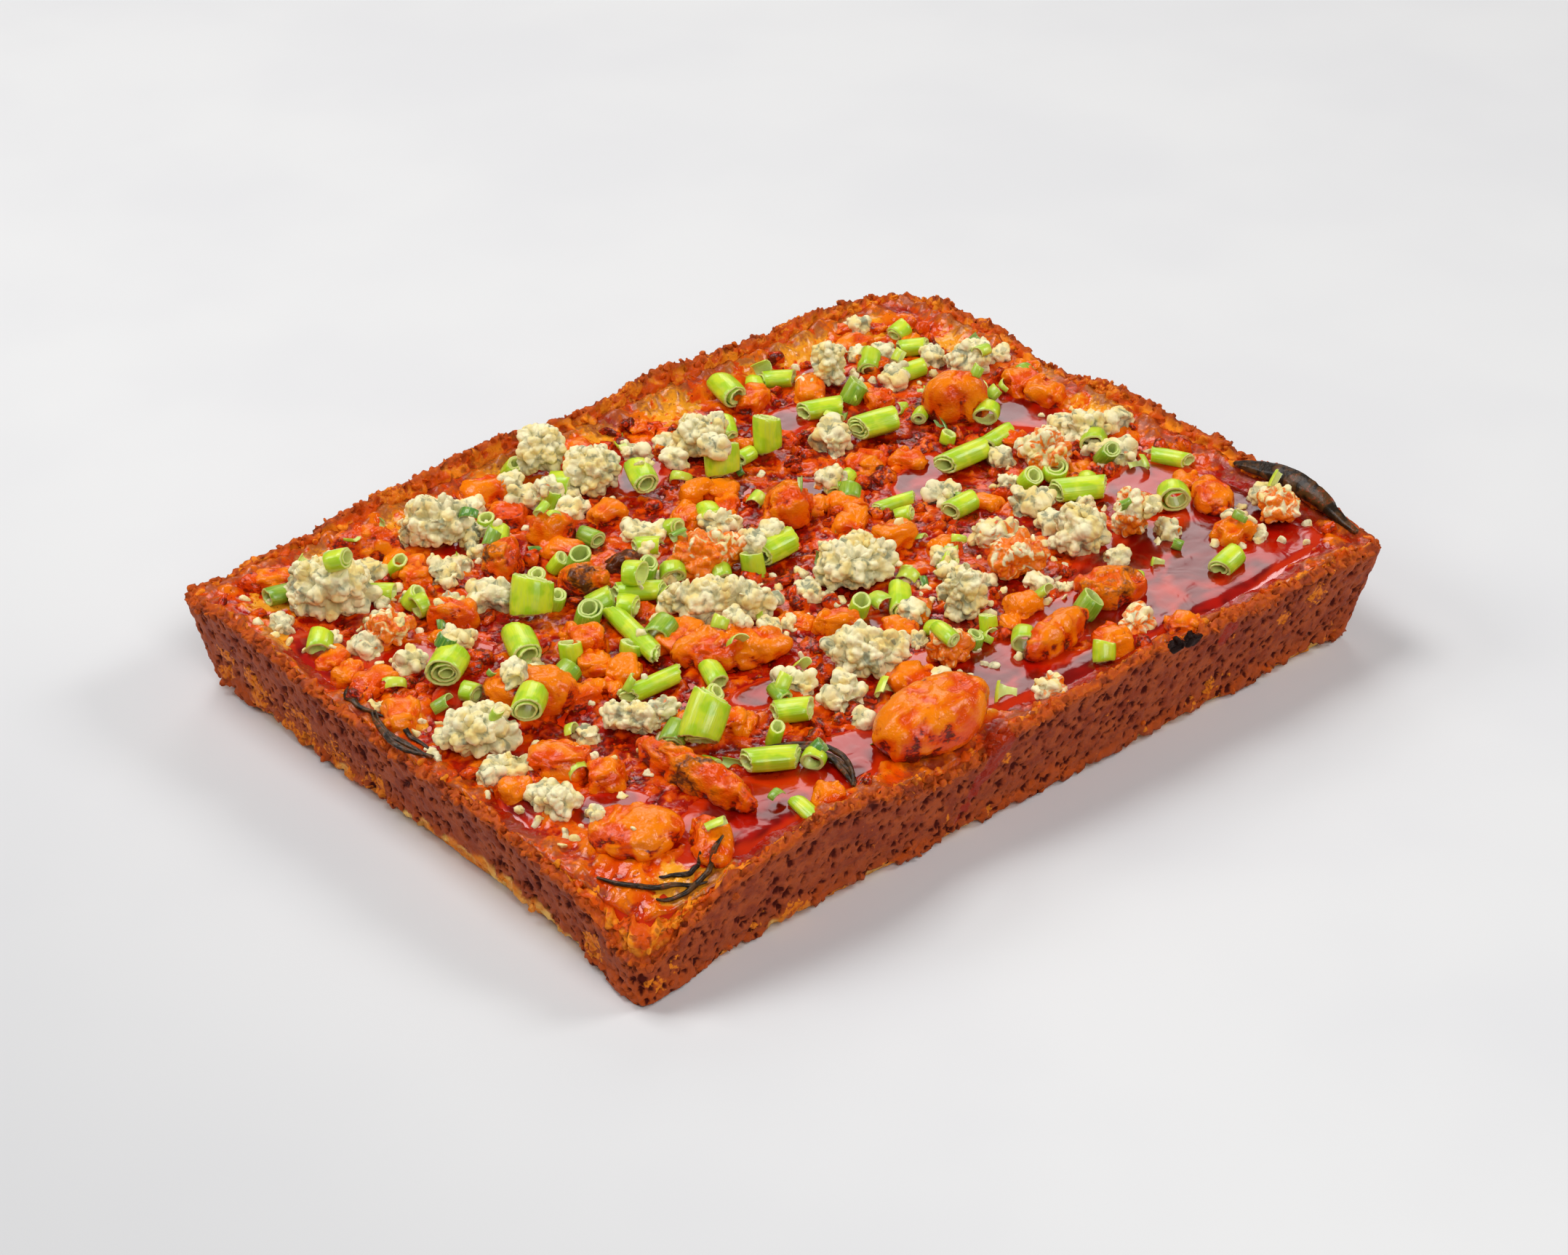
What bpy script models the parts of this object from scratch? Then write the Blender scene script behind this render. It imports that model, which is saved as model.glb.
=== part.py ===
"""Rectangular deep dish pizza, baked whole in a flared pan.

A thick bread base stands on its flat underside. Cheese browned against the pan makes its four flared walls
and its craggy rim, and the walls hold a layer of melted cheese and sauce. Chunks of sauced chicken, crumbled
blue cheese, charred onion and cut scallions lie on that layer and on each other. The smaller of them are
fused to the layer.

The long sides run along X, the rim's front left corner is at -X -Y, and the origin is the middle of the
underside. Lengths are in metres, written as millimetres times MM, except in the tables of toppings, which
hold millimetres and degrees.
"""

import math
import random
from typing import NamedTuple

import bmesh
import bpy
from mathutils import Matrix, Vector, noise
from mathutils.bvhtree import BVHTree

MM = 0.001

# Driving dimensions of the baked pizza
PIZZA_LENGTH = 253 * MM
PIZZA_WIDTH = 190 * MM
WALL_HEIGHT = 32 * MM
WALL_TAPER = 7.4 * MM
CORNER_RADIUS = 6.5 * MM
CELLS_ALONG = 30
CELLS_ACROSS = 23

# Heights of the rim at even steps along each side, anticlockwise from the front left corner
RIM_FRONT = (29, 28.5, 31, 24.5, 29.5, 32.5, 31.5, 31.5)
RIM_RIGHT = (29, 34.5, 34, 35, 32, 34.5)
RIM_BACK = (33, 35.5, 35, 36.5, 34, 34.5, 32.5, 29)
RIM_LEFT = (27, 31, 26.5, 25, 25.5, 25)
RIM_SIDES = (RIM_FRONT, RIM_RIGHT, RIM_BACK, RIM_LEFT)
RIM_CRAGS = 1.3 * MM

# The front left corner sinks, its wall stands steeper there, and the layer behind it draws back
CORNER_REACH = 22 * MM
CORNER_SINK = 15 * MM
CORNER_CHAMFER = 8 * MM
CORNER_TOE = 0.5
LAYER_CORNER_SINK = 7 * MM

# The underside, and the bread that shows where the browned wall ends above it
FOOT_INSET = 11 * MM
FOOT_ROUND_INSET = 9 * MM
FOOT_ROUND_HEIGHT = 0.5 * MM
BREAD_TUCK = 1.4 * MM
BREAD_TUCK_RISE = 0.6 * MM
SKIRT_HEIGHT = 1.6 * MM
SKIRT_RAGGED = 1.5 * MM
SKIRT_LEAST = 0.4 * MM
SKIRT_LIFT = 3.2 * MM
SKIRT_LIFT_MIDDLE = -32 * MM
SKIRT_LIFT_REACH = 36 * MM

# The inner side of the rim, and the tray that holds the cheese layer
WALL_WAVES = 0.5 * MM
RIM_SHOULDER = 1.2 * MM
RIM_TOP_INSET = 1.9 * MM
RIM_INNER_INSET = 4.0 * MM
TRAY_EDGE_INSET = 6.0 * MM
TRAY_EDGE_HEIGHT = 16.5 * MM
TRAY_FLOOR_INSET = 8.0 * MM
TRAY_FLOOR_HEIGHT = 15 * MM

# The melted cheese layer, which is thicker towards the right and climbs the rim
LAYER_HEIGHT = 27.3 * MM
LAYER_TILT = 2.6 * MM
LAYER_WAVES = 0.7 * MM
LAYER_WAVE_LENGTH = 46 * MM
LAYER_EDGE_INSET = 5.1 * MM
LAYER_EDGE_LEAST = 18.5 * MM
LAYER_CLIMB = 0.5
FIT_GAP = 0.35 * MM

# How a piece comes to lie on what is below it
SETTLE_STEP = 0.2 * MM
REST_GAP = 0.3 * MM
SMALL_PIECE_SINK = 1.5 * MM
SMALL_PIECE_SIDES = 6
SMALL_PIECE_CLEARANCE = 0.7 * MM
GROUND_REACH = 1.2 * MM

SCALLION_WALL = 1.1 * MM

# Rings of a lumpy piece, from the underside up: shares of its footprint and of its height
Levels = tuple[tuple[float, float], ...]


class Topping(NamedTuple):
    """A piece of topping: its middle, length, width and height in millimetres, and its turn in degrees."""

    name: str
    x: float
    y: float
    length: float
    width: float
    height: float
    turn: float


class Ring(NamedTuple):
    """A cut scallion: middle and sizes in millimetres, the way its tube runs, and how far it leans up."""

    name: str
    x: float
    y: float
    across: float
    length: float
    turn: float
    lean: float


class Strip(NamedTuple):
    """A curved onion strip: the middle, radius and section of its arc in millimetres, and its end angles."""

    name: str
    x: float
    y: float
    radius: float
    first: float
    last: float
    width: float
    thickness: float


CHICKEN = (
    Topping("chicken_front_slab", -103, -65, 25, 19, 5, -41),
    Topping("chicken_front_edge", -92, -80, 19, 10, 3.5, 65),
    Topping("chicken_large_lump", -22.5, -79.5, 40, 22, 10.5, 4),
    Topping("chicken_curved_strip", 27.5, -70.5, 29, 9.5, 6, 12),
    Topping("chicken_charred_flat", 53, -64, 20, 14, 6.5, -35),
    Topping("chicken_long_lump", -87, -4, 27, 15, 8, -41),
    Topping("chicken_right_patch", 105.5, -50, 18, 11, 5, 55),
    Topping("chicken_middle_back", 17.5, 20, 15, 13, 9, 0),
    Topping("chicken_square_chunk", 88, 31, 20, 14, 11.5, -30),
    Topping("chicken_left_edge", -77, 78, 21, 11, 8, -25),
    Topping("chicken_pale_lump", -36, 52.5, 15, 10, 7, -41),
    Topping("chicken_charred_end", -55, 48.5, 13, 11, 8, 49),
    Topping("chicken_dark_crumb", -45, 27.5, 14, 10, 6, -41),
    Topping("chicken_middle_slab", -37, -21, 34, 16, 5.5, -34),
    Topping("chicken_charred_skin", -79, -58.5, 43, 8, 6.5, -84),
)

BLUE_CHEESE = (
    Topping("blue_cheese_left_corner", -97.5, 65, 27, 20, 13, -41),
    Topping("blue_cheese_left_sauced", -96, 41.5, 13.5, 12, 8, -41),
    Topping("blue_cheese_left_middle", -107.5, -11, 21, 17, 10, -41),
    Topping("blue_cheese_back_left", -59.5, 72.5, 21, 13, 11, -41),
    Topping("blue_cheese_back_edge", -18.5, 81.5, 15, 13, 11.5, -20),
    Topping("blue_cheese_back_tall", -11, 67, 17, 15, 11.5, -41),
    Topping("blue_cheese_long_row", -26.5, -4.5, 36, 12, 9, -41),
    Topping("blue_cheese_orange_oval", -14.5, 15, 22, 14, 9, -35),
    Topping("blue_cheese_middle", 9.5, -14.5, 22.5, 19, 11, -30),
    Topping("blue_cheese_front_middle", -16, -48, 23, 15, 10, -41),
    Topping("blue_cheese_upright", 20, -44, 14, 13, 12.5, 0),
    Topping("blue_cheese_right_cream", 64.5, -41, 17.5, 15, 10.5, -20),
    Topping("blue_cheese_right_sauced", 43, -40, 16, 13, 10, -41),
    Topping("blue_cheese_right_narrow", 80.5, -44, 13.5, 11, 11, 60),
    Topping("blue_cheese_front_sauced", 1, -59, 12.5, 11, 9, 0),
    Topping("blue_cheese_right_large", 87, -5.5, 16, 15, 10, 30),
    Topping("blue_cheese_right_back", 105, -3, 15, 11, 8, -41),
    Topping("blue_cheese_smooth_disc", 111.5, -68, 14, 12, 7, -20),
    Topping("blue_cheese_back_small", 22, 64.5, 13, 12, 9.5, 0),
    Topping("blue_cheese_far_corner", 107, 46.5, 14, 12, 9, -41),
    Topping("blue_cheese_front_left", -109.5, -46, 12, 10.5, 7, 0),
    Topping("blue_cheese_front_chain", -75, -30.5, 18, 9, 7, -41),
    Topping("blue_cheese_back_peak", 74.5, 68.5, 12, 11, 11, 0),
)

ONIONS = (
    Strip("onion_right_rim", 1.8, -65, 121, -10.5, 10.5, 4.2, 3),
    Strip("onion_black_strip", -66.5, -74.5, 17.2, 66, -44, 4.2, 3),
    Strip("onion_left_rim", -96.6, 3, 26, 150, 208, 3.0, 1.8),
)

SCALLIONS = (
    Ring("scallion_left_trio", -95.5, 17.5, 9.5, 9, 35, 0),
    Ring("scallion_left_wide", -63, 25.5, 11, 9, 40, 62),
    Ring("scallion_left_block", -76, 13, 8.5, 11, 66, 0),
    Ring("scallion_left_lying", -93.5, -13.5, 8.2, 8.5, 40, 0),
    Ring("scallion_long_stalk", -51, -0.5, 5.5, 22, 79, 0),
    Ring("scallion_stalk_end", -62, -21.5, 5.5, 16, 0, 0),
    Ring("scallion_front_cup", -66.5, -47, 11, 11, 20, 48),
    Ring("scallion_front_lying", -62, -66, 7, 12, -32, 0),
    Ring("scallion_centre_left", 1.5, 6.5, 8, 12, 5, 0),
    Ring("scallion_right_cluster", 70.5, 8.5, 7, 15, 0, 0),
    Ring("scallion_right_pair", 81, -25, 7.5, 13, -30, 0),
    Ring("scallion_right_ring", 96, -44.8, 9, 5, 49, 0),
    Ring("scallion_back_wide", 18, 48, 10, 8.5, 55, 66),
    Ring("scallion_back_cup", 36, 50, 8, 9, 60, 74),
    Ring("scallion_back_block", -3.5, 55.5, 7.5, 10, 65, 0),
    Ring("scallion_back_thick", 64, 37, 8.5, 12, -10, 0),
    Ring("scallion_back_edge", 45.5, 78.5, 8, 10, 75, 0),
)

# The smaller pieces, fused to the layer: middle, length, width and height in millimetres, and turn
SMALL_CHICKEN = (
    (-62, 5, 10, 8, 7, -41), (-35, 83, 14, 8, 6, -10), (-79, 38, 13, 8, 7, -41), (-9, -29.5, 11, 7, 6, -41),
    (29, -8, 12, 9, 7, 0), (97, -66, 11, 8, 6, 0), (6, 44, 8, 6, 6, 0), (-18, 52, 9, 8, 5, 0),
    (-38, 69, 10, 9, 5, -41), (-94, -43, 9, 9, 6, 49), (-113, -32, 8, 7, 5, 0), (-30, 29, 9, 6, 5, -41),
    (32, -54, 9, 7, 5, 0), (36, -21, 8, 7, 5, 0), (52, 28, 11, 9, 4, 20), (2, -41, 9, 7, 4, -41),
    (112, 20, 12, 8, 6, -80), (-112, 44, 9, 7, 3, 30), (77, 50, 8, 7, 5, 0),
)
SMALL_CHEESE = (
    (-108.5, -25.5, 11, 7, 6, -41), (-66, 38, 11, 9, 7, -41), (-35, -43, 11, 8, 6, -41),
    (-31, -56, 9, 8, 6, 0), (68, -20, 11, 8, 7, -41), (51, 40, 9, 8, 8, 0), (-68, 56, 9, 7, 6, 49),
    (-17, 37, 12, 8, 5, -41), (-85, 29, 9, 7, 5, -41), (-99, 29, 8, 6, 5, 49), (-97, -30, 9, 6, 5, -41),
    (8, 73, 8, 7, 5, -41), (-25, 59, 9, 7, 5, 0), (48, -79, 9, 7, 5, 10), (11, -84, 9, 6, 4, 0),
    (50, -25, 12, 9, 6, -41), (56, 1, 9, 8, 5, 0), (106, -16, 9, 6, 5, 49), (90, 74, 8, 7, 5, -41),
    (1, 28, 9, 8, 6, 0), (-29, 72, 10, 8, 7, -41), (88, 56, 9, 7, 6, 20),
)
SMALL_SCALLIONS = (
    (-82, 51, 9, 6, 6, -41), (-67.5, -85, 9, 5, 4, 84), (-44, -53, 9, 7, 7, -41), (-55, -35, 7, 6, 6, -41),
    (-37, 15, 12, 6, 6, -41), (85, -75, 9, 7, 6, 10), (86, 12, 12, 6, 5, 10), (94, 55, 8, 6, 6, -10),
    (103, 65, 8, 6, 6, -41), (61, 56, 12, 7, 6, -20), (63, 77, 9, 6, 6, -41), (35, 66, 9, 5, 5, 60),
    (39, 23, 11, 5, 5, 20), (54, -8, 9, 7, 6, 0), (10, -32, 10, 6, 6, 49), (31, -84, 8, 6, 6, 45),
    (113, -27, 11, 6, 5, -70), (-48, 60, 9, 6, 6, 49), (-45, 39, 8, 5, 6, -41), (56, 79, 7, 6, 5, 49),
    (43, 6, 11, 6, 4, -20), (31, -27, 8, 6, 5, -41),
)


def clear_scene() -> None:
    """Removes what the startup file holds."""
    for obj in list(bpy.data.objects):
        bpy.data.objects.remove(obj)


def material(name: str, colour: tuple[float, float, float], roughness: float) -> bpy.types.Material:
    """A Principled material of one colour."""
    made = bpy.data.materials.new(name)
    made.use_nodes = True
    shader = made.node_tree.nodes["Principled BSDF"]
    shader.inputs["Base Color"].default_value = (*colour, 1)
    shader.inputs["Roughness"].default_value = roughness
    made.diffuse_color = (*colour, 1)
    return made


def solid(name: str, mesh: bmesh.types.BMesh, finish: bpy.types.Material) -> bpy.types.Object:
    """Turns a bmesh into a named, smooth shaded object with its faces pointing out."""
    bmesh.ops.recalc_face_normals(mesh, faces=mesh.faces)
    data = bpy.data.meshes.new(name)
    mesh.to_mesh(data)
    mesh.free()
    data.materials.append(finish)
    data.shade_smooth()
    data.set_sharp_from_angle(angle=math.radians(50))
    obj = bpy.data.objects.new(name, data)
    bpy.context.scene.collection.objects.link(obj)
    return obj


def waves(x: float, y: float, wave_length: float, seed: float) -> float:
    """Smooth noise between about -1 and 1 over the plan of the pizza."""
    return noise.noise(Vector((x / wave_length, y / wave_length, seed)))


def plan_point(u: float, v: float, inset: float) -> Vector:
    """The plan place of a station of the pizza's rounded rectangle.

    u and v run from -1 to 1 along X and Y, and inset moves the whole outline inwards.
    """
    half_length = PIZZA_LENGTH / 2 - inset
    half_width = PIZZA_WIDTH / 2 - inset
    radius = max(CORNER_RADIUS - inset, 3 * MM)
    x, y = abs(u) * half_length, abs(v) * half_width
    past_x, past_y = max(x - half_length + radius, 0), max(y - half_width + radius, 0)
    if past_x > 0 and past_y > 0:
        rounding = max(past_x, past_y) / math.hypot(past_x, past_y)
        x += past_x * (rounding - 1)
        y += past_y * (rounding - 1)
    return Vector((math.copysign(x, u), math.copysign(y, v)))


def loop_stations() -> list[tuple[float, float]]:
    """The stations round the edge of the plan, anticlockwise from the front left corner."""
    along = [-1 + 2 * i / CELLS_ALONG for i in range(CELLS_ALONG)]
    across = [-1 + 2 * i / CELLS_ACROSS for i in range(CELLS_ACROSS)]
    front = [(u, -1.0) for u in along]
    right = [(1.0, v) for v in across]
    back = [(-u, 1.0) for u in along]
    left = [(-1.0, -v) for v in across]
    return front + right + back + left


def corner_share(place: Vector) -> float:
    """How far a place has a share in the sunken front left corner, from 0 to 1."""
    reach = math.hypot(place.x + PIZZA_LENGTH / 2, place.y + PIZZA_WIDTH / 2) / CORNER_REACH
    return math.exp(-reach * reach)


def chamfered(place: Vector) -> Vector:
    """A plan place inside the rim, pushed away from the sunken corner."""
    push = CORNER_CHAMFER * corner_share(place) / math.sqrt(2)
    return place + Vector((push, push))


def rim_height(u: float, v: float) -> float:
    """Height of the rim's crest at a station on the edge, with its crags and its sunken corner."""
    if v == -1:
        side, share = 0, (u + 1) / 2
    elif u == 1:
        side, share = 1, (v + 1) / 2
    elif v == 1:
        side, share = 2, (1 - u) / 2
    else:
        side, share = 3, (1 - v) / 2
    heights = RIM_SIDES[side] + RIM_SIDES[(side + 1) % 4][:1]
    place = share * (len(heights) - 1)
    low = min(int(place), len(heights) - 2)
    blend = place - low
    blend = blend * blend * (3 - 2 * blend)
    height = heights[low] + (heights[low + 1] - heights[low]) * blend
    edge = plan_point(u, v, 0)
    crags = waves(*edge, 17 * MM, 3.1) + 0.8 * waves(*edge, 8 * MM, 7.7)
    return height * MM + RIM_CRAGS * crags - CORNER_SINK * corner_share(edge)


def skirt_height(edge: Vector) -> float:
    """Height of the ragged lower edge of the browned wall, which lifts along the left side."""
    corner = corner_share(edge)
    height = SKIRT_HEIGHT * (1 - corner) + SKIRT_RAGGED * (1 - corner) * waves(*edge, 13 * MM, 11.3)
    if edge.x < -PIZZA_LENGTH / 2 + CORNER_RADIUS:
        height += SKIRT_LIFT * math.exp(-(((edge.y - SKIRT_LIFT_MIDDLE) / SKIRT_LIFT_REACH) ** 4))
    return max(height, SKIRT_LEAST)


def surface_height(place: Vector) -> float:
    """Height of the melted cheese layer's top, away from the rim."""
    tilt = LAYER_TILT * place.x / (PIZZA_LENGTH / 2)
    swell = LAYER_WAVES * waves(*place, LAYER_WAVE_LENGTH, 5.5)
    return LAYER_HEIGHT + tilt + swell - LAYER_CORNER_SINK * corner_share(place)


def edge_height(u: float, v: float) -> float:
    """Height of the layer's edge, which climbs a high rim and sags towards a low one."""
    level = surface_height(chamfered(plan_point(u, v, LAYER_EDGE_INSET)))
    return max(level + LAYER_CLIMB * (rim_height(u, v) - level), LAYER_EDGE_LEAST)


def crust_column(u: float, v: float) -> list[Vector]:
    """The crust's profile at one station, from the underside up the wall, over the rim and into the tray."""
    edge = plan_point(u, v, 0)
    rim, skirt = rim_height(u, v), skirt_height(edge)
    bulge = WALL_WAVES * waves(*edge, 21 * MM, 1.9)
    taper = WALL_TAPER * (1 - CORNER_TOE * corner_share(edge))

    def wall(height: float) -> float:
        """How far the flared wall stands inside the rim's outline at a height."""
        return taper * (1 - height / WALL_HEIGHT)

    outer = (
        (wall(0) - WALL_TAPER + FOOT_INSET, 0.0),
        (wall(0) - WALL_TAPER + FOOT_ROUND_INSET, FOOT_ROUND_HEIGHT),
        (wall(skirt) + BREAD_TUCK, skirt + BREAD_TUCK_RISE),
        (wall(skirt), skirt),
        (wall(0.42 * rim) + bulge, 0.42 * rim),
        (wall(0.74 * rim) - bulge, 0.74 * rim),
        (wall(rim), rim - RIM_SHOULDER),
        (wall(rim) + RIM_TOP_INSET, rim),
    )
    column = [Vector((*plan_point(u, v, inset), height)) for inset, height in outer]
    tray = (
        (RIM_INNER_INSET, edge_height(u, v)),
        (TRAY_EDGE_INSET, TRAY_EDGE_HEIGHT),
        (TRAY_FLOOR_INSET, TRAY_FLOOR_HEIGHT),
    )
    return column + [Vector((*chamfered(plan_point(u, v, inset)), height)) for inset, height in tray]


def loft(mesh: bmesh.types.BMesh, columns: list[list[Vector]]) -> list[list[bmesh.types.BMVert]]:
    """Joins columns of points, one after the other and round to the first, with quads."""
    rows = [[mesh.verts.new(point) for point in column] for column in columns]
    for here, after in zip(rows, rows[1:] + rows[:1]):
        for low in range(len(here) - 1):
            mesh.faces.new((here[low], after[low], after[low + 1], here[low + 1]))
    return rows


def crust(finish: bpy.types.Material) -> bpy.types.Object:
    """The bread and its browned cheese wall: one solid tray with a craggy rim."""
    mesh = bmesh.new()
    rows = loft(mesh, [crust_column(u, v) for u, v in loop_stations()])
    mesh.faces.new([row[0] for row in rows])
    mesh.faces.new([row[-1] for row in rows])
    return solid("crust", mesh, finish)


def cheese_layer(finish: bpy.types.Material) -> bpy.types.Object:
    """The melted cheese and sauce that fill the tray, with a gently wavy top."""
    mesh = bmesh.new()
    grid = []
    for j in range(CELLS_ACROSS + 1):
        v = -1 + 2 * j / CELLS_ACROSS
        line = []
        for i in range(CELLS_ALONG + 1):
            u = -1 + 2 * i / CELLS_ALONG
            place = chamfered(plan_point(u, v, LAYER_EDGE_INSET))
            on_edge = 1 in (abs(u), abs(v))
            height = edge_height(u, v) if on_edge else surface_height(place)
            line.append(mesh.verts.new((*place, height)))
        grid.append(line)
    for low, high in zip(grid, grid[1:]):
        for i in range(CELLS_ALONG):
            mesh.faces.new((low[i], low[i + 1], high[i + 1], high[i]))
    edge = grid[0][:-1] + [line[-1] for line in grid[:-1]]
    edge += grid[-1][:0:-1] + [line[0] for line in grid[:0:-1]]
    levels = (
        (TRAY_EDGE_INSET + 1.5 * FIT_GAP, TRAY_EDGE_HEIGHT + FIT_GAP),
        (TRAY_FLOOR_INSET + 1.5 * FIT_GAP, TRAY_FLOOR_HEIGHT + FIT_GAP),
    )
    for inset, height in levels:
        places = [chamfered(plan_point(u, v, inset)) for u, v in loop_stations()]
        lower = [mesh.verts.new((*place, height)) for place in places]
        for i, vert in enumerate(lower):
            after = (i + 1) % len(lower)
            mesh.faces.new((edge[i], edge[after], lower[after], vert))
        edge = lower
    mesh.faces.new(edge)
    return solid("cheese_layer", mesh, finish)


def faces_tree(mesh: bmesh.types.BMesh, lift: float) -> BVHTree:
    """A search tree of a piece's faces, with the piece lifted."""
    mesh.verts.index_update()
    places = [vert.co + Vector((0, 0, lift)) for vert in mesh.verts]
    return BVHTree.FromPolygons(places, [[vert.index for vert in face.verts] for face in mesh.faces])


def settle(mesh: bmesh.types.BMesh, below: list[BVHTree]) -> None:
    """Lifts a piece just clear of all that lies below it, and counts it with them."""
    lift = 0.0
    lifted = faces_tree(mesh, lift)
    while any(lifted.overlap(tree) for tree in below):
        lift += SETTLE_STEP
        lifted = faces_tree(mesh, lift)
    for vert in mesh.verts:
        vert.co.z += lift + REST_GAP
    below.append(faces_tree(mesh, 0))


def pebble(piece: Topping, crag: float, levels: Levels, sides: int) -> bmesh.types.BMesh:
    """A lumpy closed piece whose underside follows the cheese layer.

    crag is the share by which its outline and top are uneven.
    """
    mesh = bmesh.new()
    draw = random.Random(piece.name)
    phase = draw.uniform(0, 50)
    turn = math.radians(piece.turn)

    def point(share: float, angle: float, rise: float) -> Vector:
        """One vertex, at a share of the footprint and of the height."""
        around = Vector((math.cos(angle), math.sin(angle), 0)) * 1.3
        uneven = 1 + crag * noise.noise(around + Vector((phase, rise * 2.4, 0)))
        uneven -= crag * 0.35 * draw.random()
        along = share * uneven * math.cos(angle) * piece.length / 2
        aside = share * uneven * math.sin(angle) * piece.width / 2
        x = piece.x + along * math.cos(turn) - aside * math.sin(turn)
        y = piece.y + along * math.sin(turn) + aside * math.cos(turn)
        lift = rise * piece.height * (1 + crag * 0.7 * (draw.random() - 0.6))
        place = Vector((x, y)) * MM
        return Vector((*place, surface_height(place) + lift * MM))

    columns = []
    for side in range(sides):
        angle = 2 * math.pi * side / sides
        columns.append([point(share, angle, rise) for share, rise in levels])
    rows = loft(mesh, columns)
    for end, rise in ((0, levels[0][1]), (-1, 1.0)):
        pole = mesh.verts.new(point(0, 0, rise))
        ring = [row[end] for row in rows]
        for i, vert in enumerate(ring):
            mesh.faces.new((pole, vert, ring[(i + 1) % len(ring)]))
    return mesh


def chicken(piece: Topping, finish: bpy.types.Material, below: list[BVHTree]) -> bpy.types.Object:
    """A chunk of chicken, with fairly steep sides and a low, uneven top."""
    levels = ((0.5, 0.0), (0.88, 0.0), (1.0, 0.42), (0.84, 0.86), (0.42, 1.0))
    mesh = pebble(piece, 0.26, levels, 12)
    settle(mesh, below)
    return solid(piece.name, mesh, finish)


def blue_cheese(piece: Topping, finish: bpy.types.Material, below: list[BVHTree]) -> bpy.types.Object:
    """A clump of crumbled blue cheese, craggier than the chicken and rounder on top."""
    levels = ((0.5, 0.0), (0.84, 0.0), (1.0, 0.36), (0.88, 0.74), (0.5, 0.97))
    mesh = pebble(piece, 0.46, levels, 12)
    settle(mesh, below)
    return solid(piece.name, mesh, finish)


def scallion(piece: Ring, finish: bpy.types.Material, below: list[BVHTree]) -> bpy.types.Object:
    """A cut length of hollow scallion, lying on its side or leaning up on one end."""
    mesh = bmesh.new()
    sides = 10
    oval = 0.82
    radius = piece.across / 2 * MM
    half = piece.length / 2 * MM
    bore = radius - SCALLION_WALL
    corners = ((radius, -half), (radius, half), (bore, half), (bore, -half))
    columns = []
    for side in range(sides):
        angle = 2 * math.pi * side / sides
        slant = 1 + 0.16 * math.cos(angle)
        aside, up = math.cos(angle), oval * math.sin(angle)
        column = [Vector((end * slant, reach * aside, reach * up)) for reach, end in corners]
        columns.append(column + column[:1])
    loft(mesh, columns)
    bmesh.ops.remove_doubles(mesh, verts=mesh.verts, dist=0.01 * MM)
    leaned = Matrix.Rotation(-math.radians(piece.lean), 3, "Y")
    turned = Matrix.Rotation(math.radians(piece.turn), 3, "Z") @ leaned
    middle = Vector((piece.x, piece.y, 0)) * MM
    for vert in mesh.verts:
        vert.co = turned @ vert.co + middle
    rest = max(surface_height(vert.co.xy) - vert.co.z for vert in mesh.verts)
    for vert in mesh.verts:
        vert.co.z += rest
    settle(mesh, below)
    return solid(piece.name, mesh, finish)


def ground_height(place: Vector, trees: list[BVHTree]) -> float:
    """The highest point of some pieces near a plan place, so that narrow gaps between them don't count."""
    highest = 0.0
    for aside in ((0, 0), (1, 0), (-1, 0), (0, 1), (0, -1)):
        start = place + Vector(aside) * GROUND_REACH
        for tree in trees:
            hit = tree.ray_cast((*start, 1), (0, 0, -1))[0]
            if hit is not None:
                highest = max(highest, hit.z)
    return highest


def onion(piece: Strip, finish: bpy.types.Material, below: list[BVHTree]) -> bpy.types.Object:
    """A curved strip of charred onion, tapering at both ends."""
    mesh = bmesh.new()
    steps = 9
    sections = []
    for step in range(steps + 1):
        share = step / steps
        angle = math.radians(piece.first + (piece.last - piece.first) * share)
        taper = 0.35 + 0.65 * math.sin(math.pi * share)
        outward = Vector((math.cos(angle), math.sin(angle)))
        middle = Vector((piece.x, piece.y)) * MM + outward * piece.radius * MM
        section = []
        for side, top in ((-1, 0), (1, 0), (1, 1), (-1, 1)):
            place = middle + outward * side * taper * piece.width / 2 * MM
            ground = ground_height(place, below[:2])
            section.append(mesh.verts.new((*place, ground + top * taper * piece.thickness * MM)))
        sections.append(section)
    for here, after in zip(sections, sections[1:]):
        for i in range(4):
            following = (i + 1) % 4
            mesh.faces.new((here[i], here[following], after[following], after[i]))
    mesh.faces.new(sections[0])
    mesh.faces.new(sections[-1])
    settle(mesh, below)
    return solid(piece.name, mesh, finish)


def footprint_gap(piece: Topping, nodes: list[bpy.types.Object]) -> float:
    """The least plan distance from a small piece to any vertex of the larger toppings."""
    here = Vector((piece.x, piece.y)) * MM
    nearest = min((vert.co.xy - here).length for obj in nodes for vert in obj.data.vertices)
    return nearest - (piece.length + piece.width) / 4 * MM


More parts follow.
